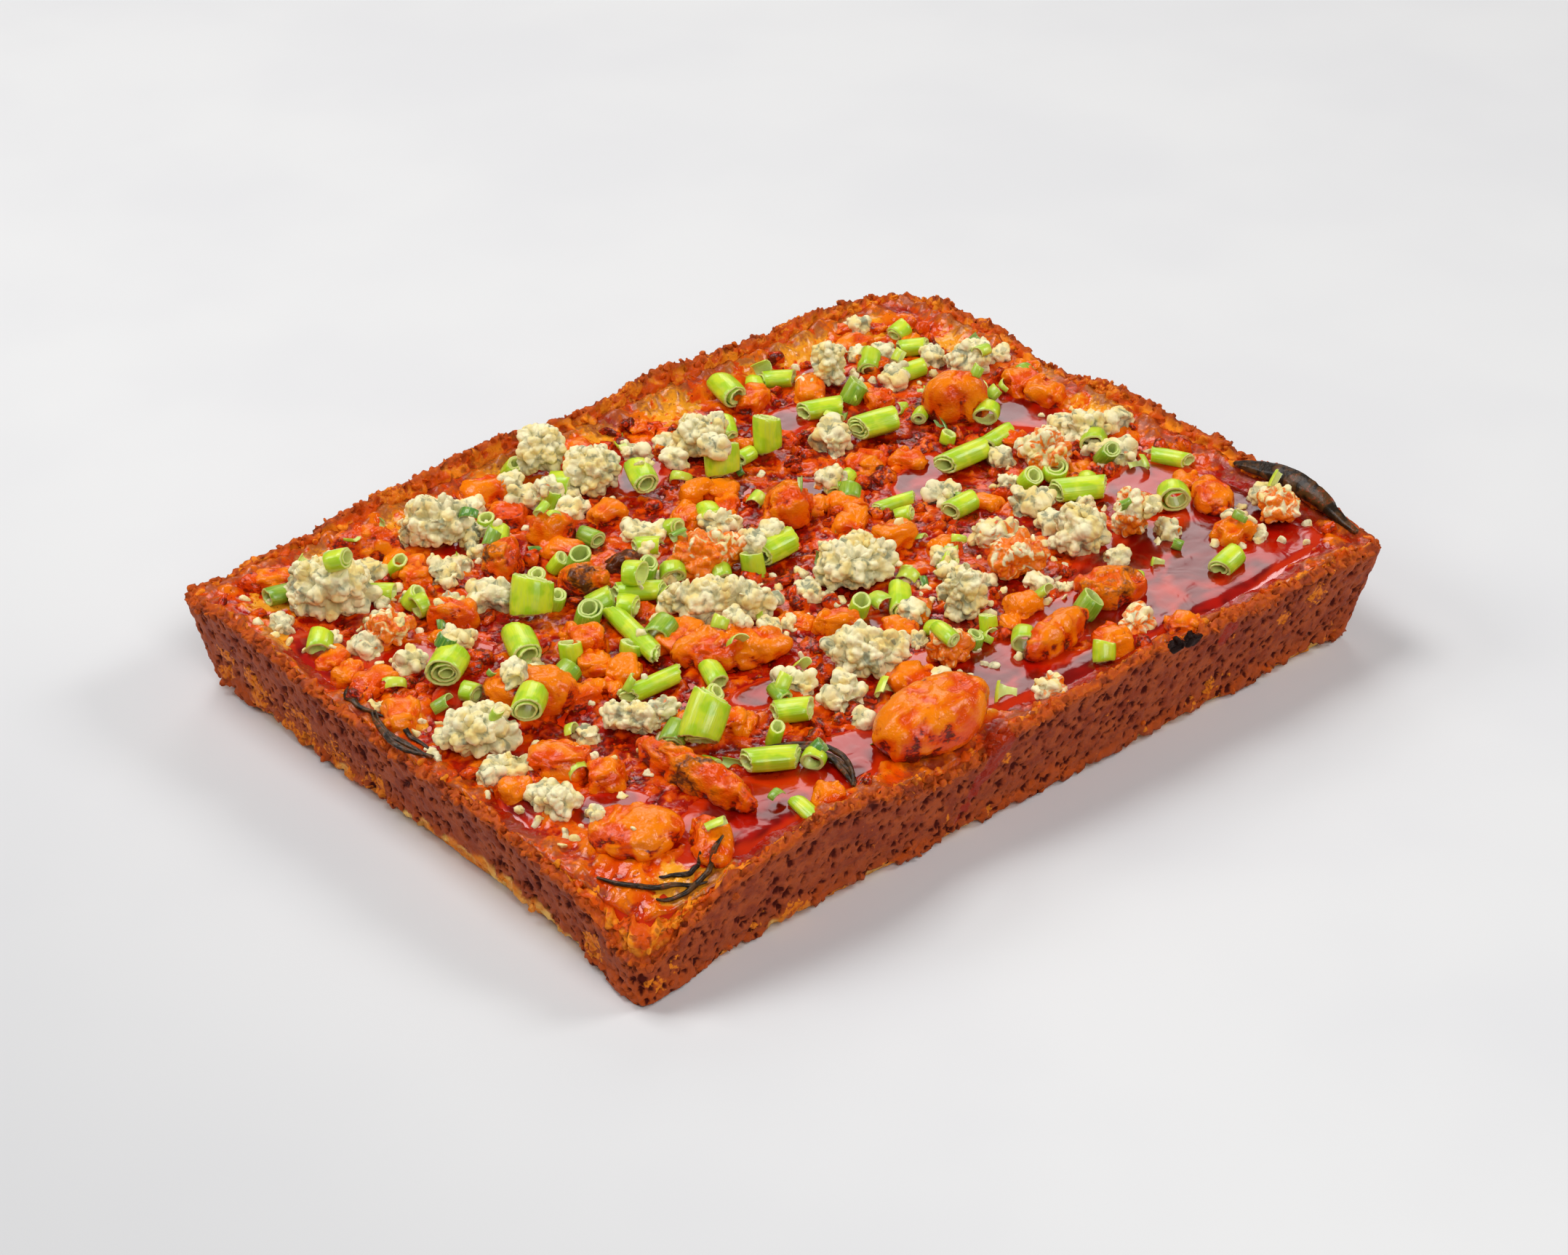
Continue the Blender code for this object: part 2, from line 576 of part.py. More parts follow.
def fuse_small_pieces(
    layer: bpy.types.Object, toppings: list[bpy.types.Object], finish: bpy.types.Material
) -> None:
    """Joins the smaller toppings to the cheese layer with one Boolean union, clear of the larger ones."""
    small = bpy.data.collections.new("small_pieces")
    bpy.context.scene.collection.children.link(small)
    levels = ((0.9, -0.35), (1.0, 0.35), (0.7, 0.85))
    for number, row in enumerate(SMALL_CHICKEN + SMALL_CHEESE + SMALL_SCALLIONS):
        piece = Topping(f"small_piece_{number:02d}", *row)
        if footprint_gap(piece, toppings) < SMALL_PIECE_CLEARANCE:
            continue
        obj = solid(piece.name, pebble(piece, 0.3, levels, SMALL_PIECE_SIDES), finish)
        for vert in obj.data.vertices:
            vert.co.z -= SMALL_PIECE_SINK
        bpy.context.scene.collection.objects.unlink(obj)
        small.objects.link(obj)
    union = layer.modifiers.new("small_pieces", "BOOLEAN")
    union.operation = "UNION"
    union.operand_type = "COLLECTION"
    union.collection = small
    union.solver = "MANIFOLD"
    bpy.context.view_layer.update()
    evaluated = layer.evaluated_get(bpy.context.evaluated_depsgraph_get())
    joined = bpy.data.meshes.new_from_object(evaluated)
    layer.modifiers.clear()
    layer.data = joined
    for obj in list(small.objects):
        bpy.data.objects.remove(obj)
    bpy.data.collections.remove(small)


def main() -> None:
    """Builds the pizza from its base up."""
    clear_scene()
    browned = material("browned_crust", (0.26, 0.065, 0.03), 0.62)
    melted = material("melted_cheese", (0.72, 0.17, 0.02), 0.32)
    sauced = material("sauced_chicken", (0.80, 0.19, 0.02), 0.35)
    cream = material("blue_cheese", (0.78, 0.73, 0.52), 0.7)
    green = material("scallion_green", (0.38, 0.58, 0.04), 0.4)
    charred = material("charred_onion", (0.045, 0.03, 0.03), 0.45)
    base = crust(browned)
    layer = cheese_layer(melted)
    below = []
    for obj in (base, layer):
        mesh = bmesh.new()
        mesh.from_mesh(obj.data)
        below.append(faces_tree(mesh, 0))
        mesh.free()
    toppings = [chicken(piece, sauced, below) for piece in CHICKEN]
    toppings += [blue_cheese(piece, cream, below) for piece in BLUE_CHEESE]
    toppings += [onion(piece, charred, below) for piece in ONIONS]
    toppings += [scallion(piece, green, below) for piece in SCALLIONS]
    fuse_small_pieces(layer, toppings, melted)


main()
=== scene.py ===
"""Looks of a whole rectangular deep dish pizza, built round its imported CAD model.

The crust, the melted cheese, the pools of sauce, the chicken, the crumbled blue cheese, the scallions and
the charred onion are each made here at the size and place that the CAD model gives them, and each has its own
procedural finish. Lengths are in metres, written as millimetres times MM. Colours are named as 8-bit sRGB.
"""

import logging
import math
import random
from dataclasses import dataclass
from enum import Enum

import bmesh
import bpy
import numpy as np
from mathutils import Matrix, Vector, noise
from mathutils.bvhtree import BVHTree


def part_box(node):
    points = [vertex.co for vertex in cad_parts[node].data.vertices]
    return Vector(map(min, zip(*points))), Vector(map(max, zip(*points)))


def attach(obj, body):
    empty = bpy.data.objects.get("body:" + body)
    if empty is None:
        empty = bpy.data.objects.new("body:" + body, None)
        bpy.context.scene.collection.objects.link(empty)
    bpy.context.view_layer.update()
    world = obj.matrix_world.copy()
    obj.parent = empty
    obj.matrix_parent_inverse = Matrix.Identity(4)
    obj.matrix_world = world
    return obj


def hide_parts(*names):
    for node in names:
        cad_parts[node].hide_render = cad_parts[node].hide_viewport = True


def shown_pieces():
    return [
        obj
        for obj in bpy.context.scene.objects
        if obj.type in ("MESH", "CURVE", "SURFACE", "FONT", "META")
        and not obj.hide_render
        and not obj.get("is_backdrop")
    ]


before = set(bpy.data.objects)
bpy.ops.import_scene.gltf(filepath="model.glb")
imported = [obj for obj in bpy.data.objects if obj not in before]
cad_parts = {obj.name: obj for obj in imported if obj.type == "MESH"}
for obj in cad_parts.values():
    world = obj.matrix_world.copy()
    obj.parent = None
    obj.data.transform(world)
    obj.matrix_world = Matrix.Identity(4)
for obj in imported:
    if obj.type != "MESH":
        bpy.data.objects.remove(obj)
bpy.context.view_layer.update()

LOG = logging.getLogger("pizza")
MM = 0.001
SMALL_SINK = 1.5  # millimetres that a small piece is sunk into what it lies on
SLAB_DRAFT = 0.985  # share of its outline that a slab's underside keeps
LUMP_SQUARENESS = 0.6  # 1 makes a lump round, and less makes it a block
LUMP_UNEVENNESS = 0.22
LUMP_UP, LUMP_DOWN = 0.62, 0.5  # shares of a lump's height above and below its middle
LUMP_MIDDLE = 0.38  # share of its height at which a lump's middle stands
STRAND_CORNERS = 8
Colour = tuple[float, float, float]


def srgb(red: float, green: float, blue: float) -> Colour:
    """Turns an 8-bit sRGB colour into Blender's linear colour.

    Args:
        red, green, blue: The colour's parts, from 0 to 255.

    Returns:
        The linear colour, from 0 to 1.
    """
    parts = (part / 255 for part in (red, green, blue))
    return tuple(part / 12.92 if part <= 0.04045 else ((part + 0.055) / 1.055) ** 2.4 for part in parts)


# ---- Node graphs


class Value:
    """A socket's value in a node graph, with Python's arithmetic."""

    def __init__(self, graph: "Graph", socket: bpy.types.NodeSocket) -> None:
        """Wraps an output socket of a graph's node."""
        self.graph = graph
        self.socket = socket

    def __add__(self, other: "Number") -> "Value":
        """Adds."""
        return self.graph.math("ADD", self, other)

    def __radd__(self, other: "Number") -> "Value":
        """Adds, reflected."""
        return self.graph.math("ADD", other, self)

    def __sub__(self, other: "Number") -> "Value":
        """Subtracts."""
        return self.graph.math("SUBTRACT", self, other)

    def __rsub__(self, other: "Number") -> "Value":
        """Subtracts, reflected."""
        return self.graph.math("SUBTRACT", other, self)

    def __mul__(self, other: "Number") -> "Value":
        """Multiplies."""
        return self.graph.math("MULTIPLY", self, other)

    def __rmul__(self, other: "Number") -> "Value":
        """Multiplies, reflected."""
        return self.graph.math("MULTIPLY", other, self)

    def __truediv__(self, other: "Number") -> "Value":
        """Divides."""
        return self.graph.math("DIVIDE", self, other)

    def __rtruediv__(self, other: "Number") -> "Value":
        """Divides, reflected."""
        return self.graph.math("DIVIDE", other, self)

    def __pow__(self, other: "Number") -> "Value":
        """Raises to a power."""
        return self.graph.math("POWER", self, other)

    def most(self, other: "Number") -> "Value":
        """The larger of two values."""
        return self.graph.math("MAXIMUM", self, other)

    def least(self, other: "Number") -> "Value":
        """The smaller of two values."""
        return self.graph.math("MINIMUM", self, other)

    def ramp(self, low: float, high: float, start: float = 0.0, end: float = 1.0) -> "Value":
        """A smooth step between two limits.

        Args:
            low, high: The value's limits. low may be above high, which turns the step round.
            start, end: What the limits become.

        Returns:
            The stepped value.
        """
        if low > high:
            low, high, start, end = high, low, end, start
        sockets = {"Value": self, "From Min": low, "From Max": high, "To Min": start, "To Max": end}
        return self.graph.node("ShaderNodeMapRange", {"interpolation_type": "SMOOTHSTEP"}, sockets)


Number = Value | float


class Graph:
    """A shader or geometry node tree that is written as expressions."""

    def __init__(self, tree: bpy.types.NodeTree) -> None:
        """Starts on a tree."""
        self.tree = tree

    def node(
        self, kind: str, settings: dict | None = None, sockets: dict | None = None, output: int | str = 0
    ) -> Value:
        """Adds one node.

        Args:
            kind: The node's type.
            settings: The node's own properties, which are set first.
            sockets: Values or links for its input sockets, by name or number.
            output: The output that is used.

        Returns:
            That output's value.
        """
        made = self.tree.nodes.new(kind)
        for name, value in (settings or {}).items():
            setattr(made, name, value)
        for name, value in (sockets or {}).items():
            self.feed(made.inputs[name], value)
        return Value(self, made.outputs[output])

    def feed(self, socket: bpy.types.NodeSocket, value: object) -> None:
        """Links a value to a socket, or sets the socket to a constant."""
        if isinstance(value, Value):
            self.tree.links.new(value.socket, socket)
        elif isinstance(value, tuple) and len(value) == 3 and len(socket.default_value) == 4:
            socket.default_value = (*value, 1)
        else:
            socket.default_value = value

    def math(self, operation: str, first: Number, second: Number) -> Value:
        """A Math node on two numbers."""
        return self.node("ShaderNodeMath", {"operation": operation}, {0: first, 1: second})

    def vector(self, operation: str, first: object, second: object) -> Value:
        """A Vector Math node on two vectors, or on a vector and, for SCALE, a number."""
        sockets = {0: first, ("Scale" if operation == "SCALE" else 1): second}
        return self.node("ShaderNodeVectorMath", {"operation": operation}, sockets)

    def mix(self, share: Number, first: object, second: object, blend: str = "MIX") -> Value:
        """Mixes two colours.

        Args:
            share: The second colour's share.
            first, second: The colours, as values or constants.
            blend: The blending mode.

        Returns:
            The mixed colour.
        """
        settings = {"data_type": "RGBA", "blend_type": blend}
        return self.node("ShaderNodeMix", settings, {0: share, 6: first, 7: second}, 2)

    def cloud(
        self, where: Value, size: float, detail: float = 2.0, twist: float = 0.0, rough: float = 0.5
    ) -> Value:
        """Noise whose lumps are about size across, mostly between 0.3 and 0.7.

        Args:
            where: The place that is read.
            size: The lumps' size in metres.
            detail: How many finer layers are added.
            twist: How much the noise is distorted.
            rough: How strong the finer layers are.

        Returns:
            The noise's value.
        """
        sockets = {
            "Vector": where, "Scale": 1 / size, "Detail": detail, "Distortion": twist, "Roughness": rough,
        }
        return self.node("ShaderNodeTexNoise", {"noise_dimensions": "3D"}, sockets)

    def cells(
        self, where: Value, size: float, feature: str = "F1", smooth: float = 0.3, output: str = "Distance"
    ) -> Value:
        """Voronoi cells about size across.

        Args:
            where: The place that is read.
            size: The cells' size in metres.
            feature: Which distance is read.
            smooth: How far SMOOTH_F1 rounds the cells' borders.
            output: Distance, from 0 at a cell's middle to about 0.7, or Color.

        Returns:
            The output's value.
        """
        sockets = {"Vector": where, "Scale": 1 / size}
        if feature == "SMOOTH_F1":
            sockets["Smoothness"] = smooth
        return self.node("ShaderNodeTexVoronoi", {"feature": feature}, sockets, output)

    def nudged(self, where: Value, size: float, reach: float) -> Value:
        """A place moved a little by noise, so that patterns read there get ragged borders."""
        push = self.node(
            "ShaderNodeTexNoise", {"noise_dimensions": "3D"}, {"Vector": where, "Scale": 1 / size}, "Color"
        )
        centred = self.vector("SUBTRACT", push, (0.5, 0.5, 0.5))
        return self.vector("ADD", where, self.vector("SCALE", centred, reach))


def pits(graph: Graph, where: Value) -> Value:
    """The small ragged holes of cheese that browned against the pan, 1 inside them and 0 outside.

    The crust's relief and its finish both use this pattern.
    """
    place = graph.vector("MULTIPLY", graph.nudged(where, 2.2 * MM, 1.7 * MM), (1.0, 1.0, 0.75))
    small = graph.cells(place, 2.1 * MM).ramp(0.42, 0.2)
    large = graph.cells(graph.vector("ADD", place, (0.31, 0.17, 0.23)), 4.4 * MM).ramp(0.3, 0.19)
    few = graph.cloud(where, 9 * MM, 2).ramp(0.24, 0.42)
    return (small * few).most(large)


# ---- Finishes


@dataclass(frozen=True)
class Finish:
    """A procedural material on the Principled shader."""

    name: str = "finish"
    roughness: float = 0.5
    coat: float = 0.0
    coat_roughness: float = 0.1
    subsurface: float = 0.0
    subsurface_radius: Colour = (1.0, 0.4, 0.15)
    specular: float = 0.5

    def material(self) -> bpy.types.Material:
        """Builds the material once, and returns it."""
        label = self.name + "_finish"
        found = bpy.data.materials.get(label)
        if found:
            return found
        made = bpy.data.materials.new(label)
        made.use_nodes = True
        shader = made.node_tree.nodes["Principled BSDF"]
        shader.inputs["Roughness"].default_value = self.roughness
        shader.inputs["Coat Weight"].default_value = self.coat
        shader.inputs["Coat Roughness"].default_value = self.coat_roughness
        shader.inputs["Specular IOR Level"].default_value = self.specular
        shader.inputs["Subsurface Weight"].default_value = self.subsurface
        shader.inputs["Subsurface Radius"].default_value = self.subsurface_radius
        shader.inputs["Subsurface Scale"].default_value = 1.2 * MM
        self.paint(Graph(made.node_tree), shader)
        return made

    def paint(self, graph: Graph, shader: bpy.types.Node) -> None:
        """Adds what changes over the surface."""
        raise NotImplementedError

    def mask(self, graph: Graph, name: str) -> Value:
        """Reads one of the mesh's own values."""
        return graph.node("ShaderNodeAttribute", {"attribute_name": name}, {}, "Fac")

    def rest(self, graph: Graph) -> Value:
        """Reads where the surface was before its relief."""
        return graph.node("ShaderNodeAttribute", {"attribute_name": "rest"}, {}, "Vector")

    def place(self, graph: Graph) -> Value:
        """The Object coordinates."""
        return graph.node("ShaderNodeTexCoord", {}, {}, "Object")

    def bump(
        self, graph: Graph, shader: bpy.types.Node, height: Value, depth: float, strength: float = 1.0
    ) -> None:
        """Feeds a bump to the shader's normal.

        Args:
            graph: The material's graph.
            shader: The shader.
            height: The relief, from 0 to 1.
            depth: What 1 stands for, in metres.
            strength: The bump's strength.
        """
        sockets = {"Height": height, "Distance": depth, "Strength": strength}
        graph.feed(shader.inputs["Normal"], graph.node("ShaderNodeBump", {}, sockets, "Normal"))


@dataclass(frozen=True)
class BrownedCrust(Finish):
    """Cheese browned against the pan: brown, pitted, craggy on the crest, with bread showing below."""

    name: str = "browned_crust"
    roughness: float = 0.45
    specular: float = 0.1
    brown: Colour = srgb(172, 78, 38)
    mauve: Colour = srgb(144, 58, 32)
    rust: Colour = srgb(192, 80, 22)
    # painted shade: the near black-red that fills the pits
    hole: Colour = srgb(78, 18, 9)
    dark: Colour = srgb(84, 24, 12)
    black: Colour = srgb(34, 16, 12)
    bread: Colour = srgb(246, 196, 104)
    bread_orange: Colour = srgb(234, 130, 28)
    amber: Colour = srgb(208, 96, 16)
    drip: Colour = srgb(158, 34, 10)
    inner_red: Colour = srgb(214, 80, 12)
    inner_bright: Colour = srgb(246, 142, 28)

    def paint(self, graph: Graph, shader: bpy.types.Node) -> None:
        """Lays brown, rust, holes darkened with painted shade, crest, bread and burnt places over each other.
        """
        where = self.rest(graph)
        hole = pits(graph, where)
        broad = graph.cloud(where, 24 * MM, 2)
        middle = graph.cloud(where, 5 * MM, 4, 0.6)
        fine = graph.cloud(where, 1.1 * MM, 4)
        crest = self.mask(graph, "crest")
        low = self.mask(graph, "low")
        inner = self.mask(graph, "inner")
        dough = self.mask(graph, "dough")
        colour = graph.mix(middle.ramp(0.38, 0.62), self.brown, self.mauve)
        colour = graph.mix((broad * 0.6 + middle * 0.7 + low * 0.5).ramp(0.78, 1.12), colour, self.rust)
        colour = graph.mix(fine.ramp(0.56, 0.72, 0.0, 0.5), colour, self.rust)
        colour = graph.mix(fine.ramp(0.44, 0.28, 0.0, 0.55), colour, self.dark)
        lower = (low + (middle - 0.5) * 2.4).ramp(0.66, 0.92)
        colour = graph.mix(lower * 0.6, colour, self.rust)
        plates = graph.cloud(where, 5 * MM, 2, 1.0).ramp(0.47, 0.55) * low
        colour = graph.mix(plates * 0.75, colour, self.brown)
        browned = graph.mix(fine.ramp(0.48, 0.66), self.rust, self.amber)
        colour = graph.mix((crest * 1.3).least(1.0) * middle.ramp(0.62, 0.46, 0.25, 0.95), colour, browned)
        crags = crest * (middle * 0.6 + fine * 0.5).ramp(0.6, 0.68)
        colour = graph.mix(crags * 0.6, colour, self.dark)
        melted = graph.mix(middle.ramp(0.44, 0.6), self.inner_red, self.inner_bright)
        inward = (inner * 1.3 + (middle - 0.5) * 1.5).ramp(0.35, 0.7) * inner.least(1.0)
        colour = graph.mix(inward, colour, melted)
        # Amber: amber cheese, and on the far rims' crest also painted light.
        amber = (self.mask(graph, "amber") + (middle - 0.5) * 3.0 + (fine - 0.5) * 2.2).ramp(0.85, 1.05)
        colour = graph.mix(amber, colour, graph.mix(fine.ramp(0.4, 0.62), self.amber, self.bread_orange))
        # Painted shade: the pits, which the relief also sinks, turn nearly black-red.
        painted_pit_shade = hole * (1 - amber * 0.6) * (1 - dough) * (1 - inner * 0.5) * (1 - crest * 0.6)
        colour = graph.mix(painted_pit_shade, colour, self.hole)
        burnt = (self.mask(graph, "burnt") + (middle - 0.5) * 2.0).ramp(0.5, 0.66)
        colour = graph.mix(burnt, colour, self.black)
        drip = (self.mask(graph, "drip") + (fine - 0.5) * 0.7).ramp(0.4, 0.6)
        colour = graph.mix(drip * 0.85, colour, self.drip)
        bread = graph.mix(middle.ramp(0.36, 0.6), self.bread, self.bread_orange)
        bread = graph.mix(fine.ramp(0.55, 0.7, 0.0, 0.6), bread, self.rust)
        colour = graph.mix(dough, colour, bread)
        graph.feed(shader.inputs["Base Color"], colour)
        graph.feed(shader.inputs["Roughness"], 0.52 - inner * 0.2 + hole * 0.2 - crest * 0.08 - drip * 0.4)
        self.bump(graph, shader, middle * 0.5 + fine * 0.5 - hole * 0.4, 0.5 * MM, 0.9)


@dataclass(frozen=True)
class MeltedCheese(Finish):
    """Melted cheese under oily red sauce: orange, toasted at the rim, darker where the sauce stands, with
    painted light on its lumps and painted shade in its hollows.
    """

    name: str = "melted_cheese"
    roughness: float = 0.1
    coat: float = 0.12
    coat_roughness: float = 0.03
    specular: float = 0.3
    orange: Colour = srgb(220, 70, 0)
    bright: Colour = srgb(238, 114, 4)
    red: Colour = srgb(166, 18, 2)
    deep: Colour = srgb(96, 8, 2)
    yellow: Colour = srgb(250, 170, 40)
    toast: Colour = srgb(140, 52, 18)

    def paint(self, graph: Graph, shader: bpy.types.Node) -> None:
        """Mottles orange with red sauce, yellow cheese and toasted spots, and paints light on the raised
        lumps and shade in the hollows.
        """
        where = self.rest(graph)
        broad = graph.cloud(where, 20 * MM, 3, 0.8)
        middle = graph.cloud(where, 6.5 * MM, 4, 1.2)
        fine = graph.cloud(where, 1.3 * MM, 3)
        edge = self.mask(graph, "edge")
        sauce = self.mask(graph, "sauce")
        yellow = self.mask(graph, "yellow")
        lift = self.mask(graph, "lift")
        wet = (broad * 0.7 + middle * 1.0 + sauce * 0.5 - edge * 0.15 - lift * 0.35).ramp(0.68, 0.9)
        # Painted light: the raised lumps, read from lift, turn brighter orange.
        colour = graph.mix((middle * 0.7 + lift * 0.3).ramp(0.34, 0.6), self.orange, self.bright)
        colour = graph.mix(wet, colour, self.red)
        # Painted shade: the hollows, read from lift, turn deep red.
        shaded_hollow = (fine * 0.5 - lift * 0.6 - edge * 0.2).ramp(0.2, 0.5)
        colour = graph.mix(shaded_hollow * 0.95, colour, self.deep)
        spotted = (yellow + (middle - 0.5) * 2.4 + (fine - 0.5)).ramp(0.5, 0.95) * 0.85
        colour = graph.mix(spotted, colour, self.yellow)
        toasted = (edge * 0.7 + fine * 0.4 + middle * 0.5).ramp(1.0, 1.2)
        colour = graph.mix(toasted * 0.8, colour, self.toast)
        colour = graph.mix(fine.ramp(0.6, 0.74, 0.0, 0.45), colour, self.bright)
        colour = graph.mix(graph.cloud(where, 0.8 * MM, 1).ramp(0.68, 0.76) * 0.7, colour, self.deep)
        graph.feed(shader.inputs["Base Color"], colour)
        graph.feed(shader.inputs["Roughness"], toasted.ramp(0.0, 1.0, 0.1, 0.4))
        self.bump(graph, shader, middle * 0.6 + fine * 0.4, 0.7 * MM, 0.7)


@dataclass(frozen=True)
class Sauce(Finish):
    """Thick red sauce, smooth and wet."""

    name: str = "red_sauce"
    roughness: float = 0.12
    coat: float = 0.35
    coat_roughness: float = 0.04
    specular: float = 0.35
    red: Colour = srgb(176, 18, 3)
    deep: Colour = srgb(112, 6, 2)
    thin: Colour = srgb(200, 44, 4)

    def paint(self, graph: Graph, shader: bpy.types.Node) -> None:
        """Darkens the middle of each pool and lets the orange show at its thin border."""
        where = self.place(graph)
        broad = graph.cloud(where, 13 * MM, 2, 0.6)
        depth = self.mask(graph, "depth")
        colour = graph.mix(broad.ramp(0.4, 0.62), self.deep, self.red)
        colour = graph.mix(depth.ramp(0.7, 0.05), colour, self.thin)
        graph.feed(shader.inputs["Base Color"], colour)
        folds = graph.cloud(where, 7 * MM, 1, 1.5)
        self.bump(graph, shader, folds, 0.6 * MM, 0.35)


@dataclass(frozen=True)
class SaucedChicken(Finish):
    """Chicken in a glossy orange sauce, with charred edges where the piece says so."""

    name: str = "sauced_chicken"
    roughness: float = 0.1
    coat: float = 0.14
    coat_roughness: float = 0.03
    specular: float = 0.22
    orange: Colour = srgb(228, 76, 0)
    bright: Colour = srgb(248, 130, 6)
    red: Colour = srgb(188, 32, 3)
    char: Colour = srgb(58, 26, 16)
    meat: Colour = srgb(206, 112, 60)

    def paint(self, graph: Graph, shader: bpy.types.Node) -> None:
        """Streaks orange with red sauce and painted shade in the hollows and low on the piece, painted light
        on the crests and top, and char at the edges.
        """
        where = self.rest(graph)
        broad = graph.cloud(where, 9 * MM, 3, 0.8)
        fine = graph.cloud(graph.vector("MULTIPLY", where, (1.0, 1.0, 2.2)), 1.6 * MM, 4, 0.8)
        height = self.mask(graph, "height")
        char = self.mask(graph, "char")
        pale = self.mask(graph, "pale")
        lift = self.mask(graph, "lift")
        # Painted light: the top of the piece and its raised relief, read from height and lift, turn brighter
        # orange.
        colour = graph.mix((broad + height * 0.15 + lift * 0.25).ramp(0.48, 0.78), self.orange, self.bright)
        shaded_hollow = graph.cloud(where, 5 * MM, 3, 1.0)
        # Low on the piece and in its hollows: the red there is partly sauce and partly painted shade.
        sauce_and_shade_sunk = shaded_hollow * 0.8 + fine * 0.4 - height * 0.3 - lift * 0.34
        colour = graph.mix(sauce_and_shade_sunk.ramp(0.46, 0.68), colour, self.red)
        # Painted shade: the deepest of these hollows turn nearly black, in the char colour.
        colour = graph.mix((sauce_and_shade_sunk + fine * 0.3).ramp(0.72, 0.86) * 0.8, colour, self.char)
        colour = graph.mix((pale * (broad * 0.8 + fine * 0.5)).ramp(0.3, 0.62), colour, self.meat)
        colour = graph.mix(fine.ramp(0.6, 0.75, 0.0, 0.4), colour, self.bright)
        burnt = (char + broad * 0.9 + fine * 0.35 - 0.62).ramp(0.42, 0.62)
        colour = graph.mix(burnt * 0.93, colour, self.char)
        graph.feed(shader.inputs["Base Color"], colour)
        graph.feed(shader.inputs["Roughness"], burnt.ramp(0.0, 1.0, 0.1, 0.36))
        self.bump(graph, shader, fine * 0.6 + graph.cloud(where, 0.6 * MM, 2) * 0.4, 0.45 * MM, 0.8)


@dataclass(frozen=True)
class BlueCheese(Finish):
    """Crumbled blue cheese: cream, with grey-green mould and painted shade in its crevices, and stained by
    the sauce.
    """

    name: str = "blue_cheese"
    roughness: float = 0.62
    subsurface: float = 0.15
    subsurface_radius: Colour = (1.0, 0.8, 0.5)
    cream: Colour = srgb(252, 240, 192)
    butter: Colour = srgb(248, 222, 140)
    mould_and_shade: Colour = srgb(176, 172, 128)
    deep_mould: Colour = srgb(104, 118, 98)
    stain: Colour = srgb(246, 126, 6)
    red_stain: Colour = srgb(216, 62, 4)

    def paint(self, graph: Graph, shader: bpy.types.Node) -> None:
        """Lays mould and painted shade in the crevices and stains on the stained pieces' lower sides."""
        where = self.rest(graph)
        broad = graph.cloud(where, 5 * MM, 2, 0.5)
        fine = graph.cloud(where, 0.9 * MM, 4)
        crevice = self.mask(graph, "crevice")
        stained = self.mask(graph, "stain")
        height = self.mask(graph, "height")
        colour = graph.mix(broad.ramp(0.4, 0.66), self.cream, self.butter)
        veins = graph.cloud(where, 3.4 * MM, 3, 1.2)
        # Grey-green in the crevices: partly the cheese's mould, partly painted shade.
        mould_and_shade = (crevice * 0.4 + veins - 0.06).ramp(0.52, 0.78)
        colour = graph.mix(mould_and_shade * 0.55, colour, self.mould_and_shade)
        blue = veins.ramp(0.54, 0.64) * (fine * 0.6 + crevice * 0.35).ramp(0.3, 0.5)
        colour = graph.mix(blue * 0.62, colour, self.deep_mould)
        soaked = (stained * 1.1 + veins * 1.5 - height * 0.15 + crevice * 0.1 - 1.06).ramp(0.36, 0.52)
        wet = graph.mix((fine * 0.5 + broad * 0.6).ramp(0.58, 0.74), self.stain, self.red_stain)
        colour = graph.mix(soaked, colour, wet)
        graph.feed(shader.inputs["Base Color"], colour)
        graph.feed(shader.inputs["Roughness"], soaked.ramp(0.0, 1.0, 0.62, 0.34))
        self.bump(graph, shader, fine, 0.35 * MM, 0.8)


@dataclass(frozen=True)
class Scallion(Finish):
    """Fresh cut scallion: green outside with fine lengthwise lines, paler within and on its cuts."""

    name: str = "scallion_green"
    roughness: float = 0.34
    coat: float = 0.25
    subsurface: float = 0.15
    subsurface_radius: Colour = (0.5, 1.0, 0.2)
    light: Colour = srgb(214, 232, 40)
    green: Colour = srgb(172, 212, 16)
    leaf: Colour = srgb(58, 128, 34)
    pale: Colour = srgb(222, 230, 140)
    cut_green: Colour = srgb(196, 216, 84)

    def paint(self, graph: Graph, shader: bpy.types.Node) -> None:
        """Reads along and around from the tube's own grain, so that the lines run lengthwise."""
        grain = graph.node("ShaderNodeAttribute", {"attribute_name": "grain"}, {}, "Vector")
        lines = graph.cloud(graph.vector("MULTIPLY", grain, (1.0, 0.12, 1.0)), 0.5 * MM, 3)
        broad = graph.cloud(grain, 5 * MM, 2)
        inside = self.mask(graph, "inside")
        cut = self.mask(graph, "cut")
        leafy = self.mask(graph, "leafy")
        colour = graph.mix(broad.ramp(0.4, 0.62), self.light, self.green)
        colour = graph.mix(leafy, colour, self.leaf)
        colour = graph.mix(lines.ramp(0.45, 0.7, 0.0, 0.45), colour, self.cut_green)
        colour = graph.mix(inside * (1 - leafy * 0.6) * 0.8, colour, self.pale)
        colour = graph.mix(cut * (1 - leafy * 0.5) * 0.85, colour, self.pale)
        graph.feed(shader.inputs["Base Color"], colour)
        self.bump(graph, shader, lines, 0.2 * MM, 0.5)


